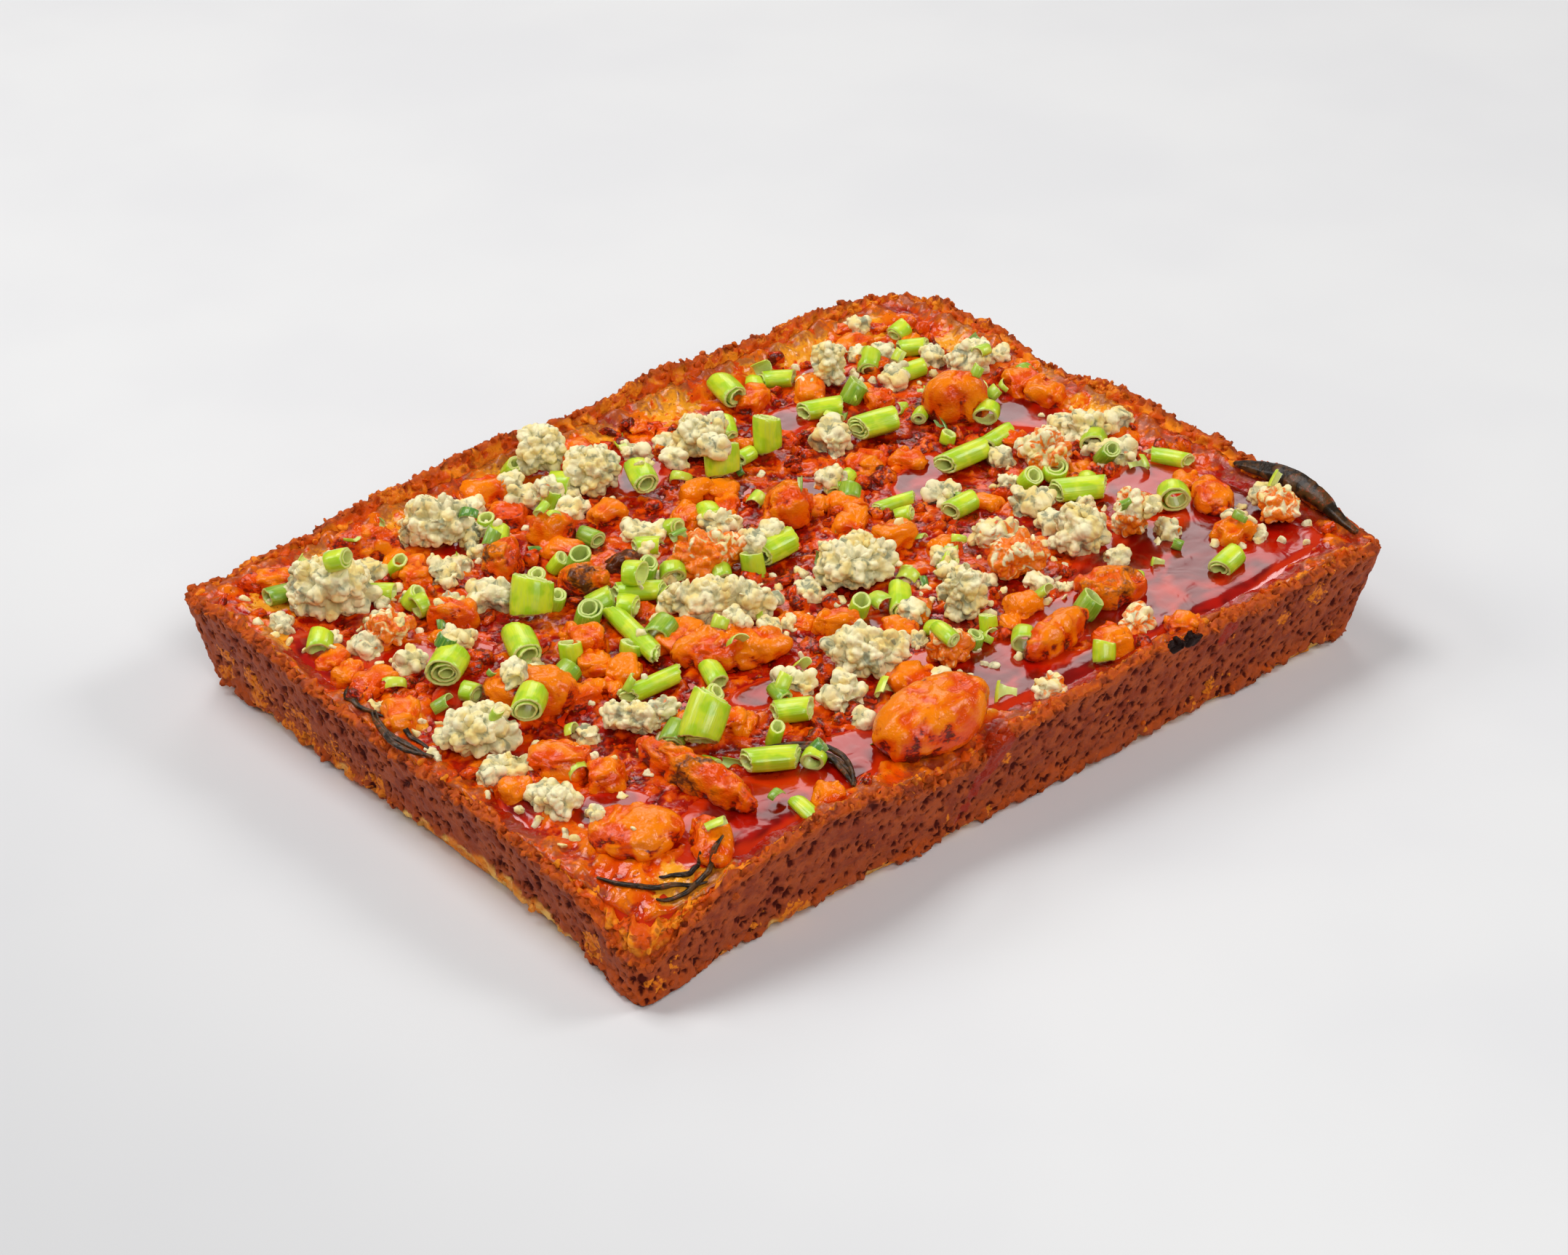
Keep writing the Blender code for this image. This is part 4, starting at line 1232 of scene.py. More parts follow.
def close_slab(obj: bpy.types.Object, depth: float) -> None:
    """Gives an open sheet that faces up sides and a flat underside.

    Args:
        obj: The sheet.
        depth: How far the underside lies below the sheet's border.
    """
    mesh = bmesh.new()
    mesh.from_mesh(obj.data)
    edges = [edge for edge in mesh.edges if edge.is_boundary]
    made = bmesh.ops.extrude_edge_only(mesh, edges=edges)["geom"]
    for vert in (part for part in made if isinstance(part, bmesh.types.BMVert)):
        vert.co = (vert.co.x * SLAB_DRAFT, vert.co.y * SLAB_DRAFT, vert.co.z - depth)
    ring = [part for part in made if isinstance(part, bmesh.types.BMEdge) and part.is_boundary]
    bmesh.ops.contextual_create(mesh, geom=ring)
    bmesh.ops.recalc_face_normals(mesh, faces=mesh.faces)
    mesh.to_mesh(obj.data)
    mesh.free()


@dataclass(frozen=True)
class Pool:
    """A pool of sauce: its middle, half sizes in millimetres and turn in degrees."""

    x: float
    y: float
    long: float
    short: float
    turn: float = 0.0

    def inside(self, x: np.ndarray, y: np.ndarray) -> np.ndarray:
        """1 in the middle, 0 on the border and less outside."""
        turn = math.radians(self.turn)
        away_x, away_y = x / MM - self.x, y / MM - self.y
        along = (away_x * math.cos(turn) + away_y * math.sin(turn)) / self.long
        aside = (away_y * math.cos(turn) - away_x * math.sin(turn)) / self.short
        return 1 - np.hypot(along, aside)


POOLS = (
    Pool(-113, 46, 14, 8, 80), Pool(-99, 32, 9, 6), Pool(-79, -77, 17, 13, 20), Pool(3, -70, 16, 17, 80),
    Pool(48, -75, 15, 13, 0), Pool(96, -67, 38, 20, 12), Pool(100, 24, 16, 8, -60),
    Pool(-116, -38, 10, 7, 70), Pool(62, -56, 16, 9, 20), Pool(-47, -74, 14, 10, 0),
    Pool(-100, -52, 9, 6, 0), Pool(34, -62, 14, 7, 10), Pool(-8, -34, 9, 5, 0), Pool(118, -52, 8, 18, 0),
    Pool(58, 12, 11, 6, 30), Pool(100, -30, 12, 8, 0), Pool(22, -84, 22, 7, 4), Pool(74, -84, 20, 7, 0),
    Pool(-88, 24, 8, 5, 0), Pool(2, 64, 10, 6, 20), Pool(52, 60, 9, 5, 0), Pool(-42, -40, 8, 5, 0),
    Pool(80, -60, 22, 14, 0), Pool(28, 30, 9, 5, -30), Pool(-106, -22, 8, 5, 0), Pool(-100, 6, 9, 6, 60),
    Pool(80, 76, 10, 4, 0), Pool(-56, 66, 8, 5, 0),
)


def pool_depth(x: np.ndarray, y: np.ndarray) -> np.ndarray:
    """How deep the sauce stands: above 0 inside the ragged pools."""
    deepest = np.max([pool.inside(x, y) for pool in POOLS], axis=0)
    return deepest + 0.22 * ripple(x, y, 9 * MM, 5) + 0.12 * ripple(x, y, 4 * MM, 6)


@dataclass(frozen=True)
class CheeseLayer:
    """The melted cheese that fills the tray and climbs the rim's inner side."""

    steps_along: int = 326
    steps_across: int = 244
    inset: float = 3.4 * MM
    depth: float = 6 * MM
    climb_reach: float = 8.2 * MM
    climb_most: float = 1.15
    climb_power: float = 1.3
    edge_samples: int = 161
    toast_reach: float = 13 * MM
    finish: Finish = MeltedCheese()
    yellow_spots: tuple[Spot, ...] = (
        Spot(80, 85, 32, 12), Spot(118, 5, 32, 11), Spot(-106, 76, 28, 10), Spot(-104, -84, 22, 9),
        Spot(-96, -88, 24, 6), Spot(116, 62, 32, 10), Spot(30, 86, 31, 11), Spot(-60, 84, 29, 10),
        Spot(-114, 8, 26, 5), Spot(60, 84, 32, 9), Spot(118, 30, 32, 8), Spot(-30, 86, 30, 9),
        Spot(100, 84, 32, 10), Spot(-88, 84, 29, 9), Spot(4, 86, 31, 8), Spot(-118, 60, 27, 6),
        Spot(-8, -80, 27, 5), Spot(-60, -84, 27, 5),
    )

    def heights(self, u: np.ndarray, v: np.ndarray, x: np.ndarray, y: np.ndarray) -> np.ndarray:
        """Heights of the smooth top: level in the middle, and up or down to the rim at its edge."""
        level = FORM.layer(x, y)
        ends = np.linspace(-1, 1, self.edge_samples)
        low, high = np.full(self.edge_samples, -1.0), np.full(self.edge_samples, 1.0)
        sides = (
            (np.interp(u, ends, FORM.edge(ends, low)), y + FORM.width / 2),
            (np.interp(u, ends, FORM.edge(ends, high)), FORM.width / 2 - y),
            (np.interp(v, ends, FORM.edge(low, ends)), x + FORM.length / 2),
            (np.interp(v, ends, FORM.edge(high, ends)), FORM.length / 2 - x),
        )
        total, pull = np.zeros(np.shape(x)), np.zeros(np.shape(x))
        for height, away in sides:
            near = np.clip(1 - (away - FORM.layer_edge_inset) / self.climb_reach, 0, self.climb_most)
            share = near**self.climb_power
            total += share
            pull += share * (height - level)
        return level + pull / np.maximum(total, 1)

    def shell(self) -> bpy.types.Object:
        """The smooth layer as an open sheet, with the masks that its relief and finish read."""
        u, v = np.meshgrid(np.linspace(-1, 1, self.steps_along), np.linspace(-1, 1, self.steps_across))
        x, y = FORM.chamfered(*FORM.plan(u, v, self.inset))
        z = self.heights(u, v, x, y)
        points = np.stack([x, y, z], -1).reshape(-1, 3)
        obj = mesh_object("cheese_layer_top", points, grid_faces(self.steps_across, self.steps_along, False))
        away = np.minimum(FORM.length / 2 - np.abs(x), FORM.width / 2 - np.abs(y)) - FORM.layer_edge_inset
        wet = 1 / (1 + np.exp(-pool_depth(x, y) * 12))
        set_values(
            obj,
            edge=np.exp(-(np.maximum(away, 0) / self.toast_reach) ** 1.5).ravel(),
            border=np.clip(away / (3 * MM), 0, 1).ravel(),
            sauce=wet.ravel(),
            yellow=spots_share(self.yellow_spots, points),
        )
        return obj

    def relief(self) -> Relief:
        """Lumps, bubbles near the rim, and hollows where the sauce stands."""
        tree = Relief("cheese_relief", {"Lump Height": 3.0 * MM, "Pool Depth": 1.6 * MM})
        graph = tree.graph
        where = tree.at_rest()
        edge, sauce = tree.named("edge"), tree.named("sauce")
        lumps = (graph.cloud(where, 10 * MM, 3, 0.9) - 0.5) * tree.input("Lump Height")
        small = (graph.cloud(where, 3.6 * MM, 3, 1.2) - 0.5) * 2.4 * MM
        bubbles = graph.cells(where, 5.5 * MM, "SMOOTH_F1", 0.5).ramp(0.1, 0.7, 1.0, 0.0) * edge * 1.5 * MM
        relief = (lumps + small + bubbles) * (1 - sauce * 0.6)
        # lift is what the finish turns into painted light on the lumps and painted shade in the hollows.
        tree.store("lift", relief / (1.1 * MM))
        tree.lifted(relief - sauce * tree.input("Pool Depth"))
        tree.end()
        return tree

    def build(self) -> None:
        """Builds the layer in place of its CAD node, whose fused pieces are made apart."""
        obj = self.relief().apply(self.shell(), self.finish)
        close_slab(obj, self.depth)
        keep(obj, "melted_cheese", "cheese_layer")


@dataclass(frozen=True)
class SaucePools:
    """Smooth wet sauce that stands in the layer's hollows."""

    step: float = 1.15 * MM
    inset: float = 6.5 * MM
    level: float = 0.15 * MM
    dip: float = 0.75 * MM
    rim_dip: float = 3 * MM
    rim_reach: float = 6 * MM
    thickness: float = 2 * MM
    finish: Finish = Sauce()

    def build(self) -> None:
        """Builds the sauce as one piece that comes through wherever the cheese dips below it."""
        half_x, half_y = FORM.length / 2 - self.inset, FORM.width / 2 - self.inset
        x, y = np.meshgrid(np.arange(-half_x, half_x, self.step), np.arange(-half_y, half_y, self.step))
        away = np.minimum(half_x - np.abs(x), half_y - np.abs(y))
        depth = pool_depth(x, y) - 0.6 * np.clip(1 - away / self.rim_reach, 0, 1)
        folds = 0.16 * np.abs(ripple(x + 0.4 * y, y * 2.2, 9 * MM, 21)) + 0.1 * ripple(x, y, 5 * MM, 22)
        low = self.dip * np.clip(-depth * 3.0, 0, 1)
        low = low + self.rim_dip * np.clip(1 - away / self.rim_reach, 0, 1) ** 2
        z = FORM.layer(x, y) + self.level + folds * MM - low
        points = np.stack([x, y, z], -1).reshape(-1, 3)
        obj = mesh_object("sauce_pools", points, grid_faces(*x.shape, False))
        set_values(obj, depth=np.clip(depth * 2.5, 0, 1).ravel())
        obj.data.materials.append(self.finish.material())
        close_slab(obj, self.thickness)
        keep(obj, "melted_cheese")


# ---- Chicken, blue cheese and onion, grown from their CAD nodes


# The smaller pieces, which the CAD model fuses to the layer: the middle, length, width and height in
# millimetres, and the turn in degrees
SMALL_CHICKEN = (
    (-62, 5, 10, 8, 7, -41), (-35, 83, 14, 8, 6, -10), (-79, 38, 13, 8, 7, -41), (-9, -29.5, 11, 7, 6, -41),
    (29, -8, 12, 9, 7, 0), (97, -66, 11, 8, 6, 0), (6, 44, 8, 6, 6, 0), (-18, 52, 9, 8, 5, 0),
    (-38, 69, 10, 9, 5, -41), (-94, -43, 9, 9, 6, 49), (-113, -32, 8, 7, 5, 0), (-30, 29, 9, 6, 5, -41),
    (32, -54, 9, 7, 5, 0), (36, -21, 8, 7, 5, 0), (52, 28, 11, 9, 4, 20), (2, -41, 9, 7, 4, -41),
    (112, 20, 12, 8, 6, -80), (-112, 44, 9, 7, 3, 30), (77, 50, 8, 7, 5, 0),
)
SMALL_CHEESE = (
    (-108.5, -25.5, 11, 7, 6, -41), (-66, 38, 11, 9, 7, -41), (-35, -43, 11, 8, 6, -41),
    (-31, -56, 9, 8, 6, 0), (68, -20, 11, 8, 7, -41), (51, 40, 9, 8, 8, 0), (-68, 56, 9, 7, 6, 49),
    (-17, 37, 12, 8, 5, -41), (-85, 29, 9, 7, 5, -41), (-99, 29, 8, 6, 5, 49), (-97, -30, 9, 6, 5, -41),
    (8, 73, 8, 7, 5, -41), (-25, 59, 9, 7, 5, 0), (48, -79, 9, 7, 5, 10), (11, -84, 9, 6, 4, 0),
    (50, -25, 12, 9, 6, -41), (56, 1, 9, 8, 5, 0), (106, -16, 9, 6, 5, 49), (90, 74, 8, 7, 5, -41),
    (1, 28, 9, 8, 6, 0), (-29, 72, 10, 8, 7, -41), (88, 56, 9, 7, 6, 20),
)
SMALL_SCALLIONS = (
    (-82, 51, 9, 6, 6, -41), (-67.5, -85, 9, 5, 4, 84), (-44, -53, 9, 7, 7, -41), (-55, -35, 7, 6, 6, -41),
    (-37, 15, 12, 6, 6, -41), (85, -75, 9, 7, 6, 10), (86, 12, 12, 6, 5, 10), (94, 55, 8, 6, 6, -10),
    (103, 65, 8, 6, 6, -41), (61, 56, 12, 7, 6, -20), (63, 77, 9, 6, 6, -41), (35, 66, 9, 5, 5, 60),
    (39, 23, 11, 5, 5, 20), (54, -8, 9, 7, 6, 0), (10, -32, 10, 6, 6, 49), (31, -84, 8, 6, 6, 45),
    (113, -27, 11, 6, 5, -70), (-48, 60, 9, 6, 6, 49), (-45, 39, 8, 5, 6, -41), (56, 79, 7, 6, 5, 49),
    (43, 6, 11, 6, 4, -20), (31, -27, 8, 6, 5, -41),
)
SMALL_CHARS = {2: 0.3, 8: 0.35, 11: 0.55, 3: 0.2}
SMALL_STAINS = {0: 0.5, 8: 0.15, 13: 0.7, 14: 0.6, 15: 0.6, 16: 0.3, 10: 0.4, 4: 0.2, 17: 0.5, 3: 0.45}

CHICKEN = {
    "front_slab": Taste.SAUCED, "front_edge": Taste.SAUCED, "large_lump": Taste.SAUCED,
    "curved_strip": Taste.SAUCED, "charred_flat": Taste.CHARRED, "long_lump": Taste.SAUCED,
    "right_patch": Taste.SAUCED, "middle_back": Taste.SAUCED, "square_chunk": Taste.SAUCED,
    "left_edge": Taste.EDGED, "pale_lump": Taste.SAUCED, "charred_end": Taste.CHARRED,
    "dark_crumb": Taste.CHARRED, "middle_slab": Taste.SAUCED, "charred_skin": Taste.CHARRED,
}

CLUMP_STAINS = {
    "left_corner": 0.12, "left_sauced": 0.8, "left_middle": 0.12, "back_left": 0.1, "back_edge": 0.15,
    "back_tall": 0.15, "long_row": 0.12, "orange_oval": 0.85, "middle": 0.12, "front_middle": 0.1,
    "upright": 0.2, "right_cream": 0.1, "right_sauced": 0.8, "right_narrow": 0.72, "front_sauced": 0.85,
    "right_large": 0.7, "right_back": 0.15, "smooth_disc": 0.8, "back_small": 0.15, "far_corner": 0.25,
    "front_left": 0.05, "front_chain": 0.12, "back_peak": 0.15,
}


def height_share(obj: bpy.types.Object) -> np.ndarray:
    """How high each vertex lies in its object, from 0 to 1."""
    heights = np.array([vert.co.z for vert in obj.data.vertices])
    return (heights - heights.min()) / max(np.ptp(heights), 0.1 * MM)


def lump(row: tuple[float, ...], seed: float, base: float | None = None, detail: int = 4) -> bpy.types.Object:
    """Makes a rounded, uneven block that is sunk a little into what it lies on.

    Args:
        row: Its middle, length, width and height in millimetres, and its turn in degrees.
        seed: What makes it differ from the others.
        base: The height of what it lies on, in millimetres, or None for the layer's own.
        detail: How finely its mesh is divided.

    Returns:
        The object.
    """
    x, y, length, width, height, turn = row
    if base is None:
        base = float(FORM.layer(np.array([x * MM]), np.array([y * MM]))[0]) / MM
    base -= SMALL_SINK
    mesh = bmesh.new()
    bmesh.ops.create_icosphere(mesh, subdivisions=detail, radius=1.0)
    turned = Matrix.Rotation(math.radians(turn), 3, "Z")
    for vert in mesh.verts:
        away = vert.co.normalized()
        block = Vector([math.copysign(abs(part) ** LUMP_SQUARENESS, part) for part in away])
        uneven = 1 + LUMP_UNEVENNESS * noise.noise(away * 1.8 + Vector((seed, 0, 0)))
        size = Vector((length / 2, width / 2, height * (LUMP_UP if away.z > 0 else LUMP_DOWN)))
        place = Vector([block[axis] * size[axis] * uneven for axis in range(3)])
        vert.co = (turned @ place + Vector((x, y, base + height * LUMP_MIDDLE))) * MM
    data = bpy.data.meshes.new("lump")
    mesh.to_mesh(data)
    mesh.free()
    return linked("lump", data)


def scatter_lumps(tree: Relief, mask: str, least: float, most: float, values: dict[str, object]) -> None:
    """Ends a tree that strews small uneven lumps over a mesh.

    Args:
        tree: The tree, with the inputs Crumb, Density and Seed.
        mask: The mesh's value that says where they lie.
        least, most: The lumps' sizes, as shares of Crumb.
        values: What the finish reads on the lumps.
    """
    graph = tree.graph
    density = tree.named(mask) * tree.input("Density")
    settings = {"distribute_method": "RANDOM"}
    sockets = {"Mesh": tree.shape, "Density": density, "Seed": tree.input("Seed")}
    spots = graph.node("GeometryNodeDistributePointsOnFaces", settings, sockets)
    sockets = {"Size": (1, 1, 1), "Vertices X": 4, "Vertices Y": 4, "Vertices Z": 4}
    block = graph.node("GeometryNodeMeshCube", {}, sockets)
    place = tree.position()
    round_place = graph.node("ShaderNodeVectorMath", {"operation": "NORMALIZE"}, {0: place})
    middle = graph.node("ShaderNodeMix", {"data_type": "VECTOR"}, {0: 0.75, 4: place, 5: round_place}, 1)
    block = graph.node("GeometryNodeSetPosition", {}, {"Geometry": block, "Position": middle})
    stretch = {"data_type": "FLOAT_VECTOR"}
    ends = {"Min": (least, least, least * 0.8), "Max": (most, most, most * 0.8), "Seed": 11}
    size = graph.node("FunctionNodeRandomValue", stretch, ends)
    ends = {"Min": (0, 0, 0), "Max": (6.3, 6.3, 6.3), "Seed": 12}
    turn = graph.node("FunctionNodeRandomValue", stretch, ends)
    shape = graph.vector("SCALE", size, tree.input("Crumb"))
    sockets = {"Points": spots, "Instance": block, "Rotation": turn, "Scale": shape}
    strewn = graph.node("GeometryNodeInstanceOnPoints", {}, sockets)
    tree.shape = graph.node("GeometryNodeRealizeInstances", {}, {"Geometry": strewn})
    where = tree.at_rest()
    for name, value in values.items():
        tree.store(name, value)
    tree.raised((graph.cloud(where, 1.1 * MM, 2) - 0.5) * 1.1 * tree.input("Crumb"))
    tree.end()


@dataclass(frozen=True)
class ChickenPieces:
    """Each chunk of chicken, rounded and given its fibrous, dented relief."""

    finish: Finish = SaucedChicken()
    smooth: tuple[str, ...] = (
        "large_lump", "front_slab", "long_lump", "curved_strip", "right_patch", "square_chunk",
    )
    smooth_dent: float = 0.8 * MM
    smooth_fold: float = 0.15

    def relief(self, name: str, levels: int) -> Relief:
        """Dents, a few folds and a fine grain.

        Args:
            name: The tree's name.
            levels: How often the mesh is rounded.

        Returns:
            The tree.
        """
        tree = Relief(name, {"Dent": 1.4 * MM, "Fold": 0.45, "Swell": 0.2 * MM, "Flare": 0.7 * MM})
        graph = tree.graph
        tree.smooth(levels)
        where = tree.at_rest()
        dents = (graph.cloud(where, 9 * MM, 2, 0.6) - 0.5) * 1.5
        steps = graph.cloud(where, 7 * MM, 2, 1.2).ramp(0.44, 0.54, -0.3, 0.3)
        folds = graph.cloud(where, 3.0 * MM, 3, 1.4) - 0.5
        grain = graph.cloud(where, 1.1 * MM, 3) - 0.5
        flare = (0.4 - tree.named("height")).most(0.0) * 4.0 * tree.input("Flare")
        relief = dents + steps + folds * tree.input("Fold") + grain * 0.24
        # lift is what the finish turns into painted light on the raised relief and painted shade in its
        # hollows.
        tree.store("lift", relief)
        tree.raised(relief * tree.input("Dent") + tree.input("Swell") + flare)
        tree.end()
        return tree

    def build(self) -> None:
        """Builds every chunk in place of its CAD node, and the small ones as one piece."""
        tree = self.relief("chicken_relief", 3)
        for name, taste in CHICKEN.items():
            node = "chicken_" + name
            obj = node_copy(node, node + "_cooked")
            set_values(obj, height=height_share(obj), char=taste.char, pale=taste.pale)
            smooth = {"Dent": self.smooth_dent, "Fold": self.smooth_fold} if name in self.smooth else {}
            keep(tree.apply(obj, self.finish, **smooth), "sauced_chicken", node)
        parts = []
        for number, row in enumerate(SMALL_CHICKEN):
            part = lump(row, 100 + number, detail=3)
            set_values(part, height=height_share(part), char=SMALL_CHARS.get(number, 0.0), pale=0.1)
            parts.append(part)
        tree = self.relief("small_chicken_relief", 1)
        keep(tree.apply(joined("small_chicken", parts), self.finish, Fold=1.0), "sauced_chicken")


def granules(tree: Relief) -> Value:
    """Rounded granules with deep crevices, which are stored for the finish, about 1 high."""
    graph = tree.graph
    where = tree.at_rest()
    place = graph.vector("SCALE", graph.nudged(where, 5.0 * MM, 1.8 * MM), 1 / tree.input("Granule"))
    large = graph.node("ShaderNodeTexVoronoi", {"feature": "F1"}, {"Vector": place, "Scale": 1.0})
    small = graph.node("ShaderNodeTexVoronoi", {"feature": "F1"}, {"Vector": place, "Scale": 1.7})
    tree.store("crevice", (large.ramp(0.42, 0.72) + small.ramp(0.5, 0.75) * 0.4).least(1.0))
    fine = graph.cloud(where, 0.8 * MM, 3) - 0.5
    swell = graph.cloud(where, 8 * MM, 2) - 0.5
    return (1 - large * large * 2.0) * 0.8 + (1 - small * small * 1.9) * 0.45 + fine * 0.14 + swell * 3.6


@dataclass(frozen=True)
class BlueCheeseClumps:
    """The crumbled blue cheese: each clump, the small ones, and loose crumbs round them."""

    finish: Finish = BlueCheese()
    crumb: float = 1.8 * MM
    density: float = 90000.0
    reach: float = 6 * MM
    loose: int = 84

    def relief(self, name: str, levels: int) -> Relief:
        """Granules over a rounded clump.

        Args:
            name: The tree's name.
            levels: How often the mesh is rounded.

        Returns:
            The tree.
        """
        tree = Relief(name, {"Granule": 3.3 * MM, "Bulge": 1.9 * MM, "Sink": 0.45})
        tree.smooth(levels)
        tree.raised((granules(tree) - tree.input("Sink")) * tree.input("Bulge"))
        tree.end()
        return tree

    def build(self) -> None:
        """Builds every clump in place of its CAD node, and the small ones as one piece."""
        tree = self.relief("clump_relief", 4)
        for name, stain in CLUMP_STAINS.items():
            node = "blue_cheese_" + name
            obj = node_copy(node, node + "_crumbled")
            set_values(obj, height=height_share(obj), stain=stain)
            keep(tree.apply(obj, self.finish), "blue_cheese", node)
        parts = []
        for number, row in enumerate(SMALL_CHEESE):
            part = lump(row, 200 + number)
            set_values(part, height=height_share(part), stain=SMALL_STAINS.get(number, 0.25))
            parts.append(part)
        tree = self.relief("small_clump_relief", 1)
        keep(tree.apply(joined("small_blue_cheese", parts), self.finish), "blue_cheese")

    def scatter(self, ground: "Ground") -> None:
        """Scatters loose crumbs over what lies near the clumps."""
        away = np.maximum(ground.away(("blue_cheese_",)), 0)
        clumped = np.clip(ripple(ground.x, ground.y, 7 * MM, 31) + 0.3, 0, 1)
        share = np.exp(-((away / self.reach) ** 1.4)) * (0.25 + 0.75 * clumped) + 0.006
        obj = ground.patch("blue_cheese_crumbs", share)
        tree = Relief("crumb_scatter", {"Crumb": self.crumb, "Density": self.density, "Seed": 3})
        scatter_lumps(tree, "near", 0.3, 1.1, {"crevice": 0.1})
        keep(tree.apply(obj, self.finish), "blue_cheese")
        near = np.exp(-((np.abs(away - 1.5 * MM) / (5 * MM)) ** 2)) * (away > 0) + 0.04
        parts = []
        draw = random.Random(23)
        for number, place in enumerate(ground.places(near, self.loose, 41, 4.5 * MM)):
            size = draw.uniform(3.2, 6.6)
            length, turn = size * draw.uniform(1.0, 1.4), draw.uniform(0, 180)
            row = (place.x / MM, place.y / MM, length, size, size * 0.85, turn)
            part = lump(row, 300 + number, place.z / MM, 3)
            set_values(part, height=height_share(part), stain=draw.choice((0.0, 0.1, 0.2, 0.5)))
            parts.append(part)
        tree = self.relief("loose_clump_relief", 1)
        obj = joined("loose_blue_cheese", parts)
        keep(tree.apply(obj, self.finish, Granule=2.4 * MM, Bulge=1.3 * MM), "blue_cheese")


@dataclass(frozen=True)
class SauceBits:
    """Shreds and caramelised bits in sauce, which fill the gaps between the larger toppings."""

    finish: Finish = SaucedChicken()
    bit: float = 3.0 * MM
    density: float = 24000.0
    loose: int = 60
    clear_x: float = -0.108
    clear_y: float = -0.076
    clear_reach: float = 0.03

    def scatter(self, ground: "Ground") -> None:
        """Strews the bits over the layer."""
        toppings = ground.away(("blue_cheese_", "scallion_", "chicken_", "onion_"))
        corner = np.hypot(ground.x - self.clear_x, ground.y - self.clear_y) / self.clear_reach
        away = np.clip(toppings / (2 * MM) - 0.4, 0, 1)
        away *= ground.bare * np.clip(1 - 3 * np.exp(-(corner**4)), 0, 1)
        clumped = np.clip(1.6 * ripple(ground.x, ground.y, 13 * MM, 33) + 0.5, 0.05, 1)
        pools = np.clip(0.3 - 2 * pool_depth(ground.x, ground.y), 0, 1)
        obj = ground.patch("sauced_bits", away * clumped * pools)
        tree = Relief("bit_scatter", {"Crumb": self.bit, "Density": self.density, "Seed": 5})
        dark = tree.graph.cloud(tree.position(), 14 * MM, 2).ramp(0.42, 0.62, 0.0, 0.42)
        scatter_lumps(tree, "near", 0.35, 1.4, {"height": 0.05, "char": dark})
        keep(tree.apply(obj, self.finish), "sauced_chicken")
        parts = []
        draw = random.Random(29)
        for number, place in enumerate(ground.places(away * pools + 0.01, self.loose, 43, 6 * MM)):
            size = draw.uniform(4.0, 8.5)
            length, turn = size * draw.uniform(1.1, 1.8), draw.uniform(0, 180)
            row = (place.x / MM, place.y / MM, length, size, size * 0.6, turn)
            part = lump(row, 400 + number, place.z / MM, 4)
            char = draw.choice((0.0, 0.0, 0.1, 0.25, 0.4))
            set_values(part, height=height_share(part), char=char, pale=0.1)
            parts.append(part)
        tree = ChickenPieces().relief("loose_chicken_relief", 0)
        keep(tree.apply(joined("loose_chicken", parts), self.finish, Fold=1.3), "sauced_chicken")


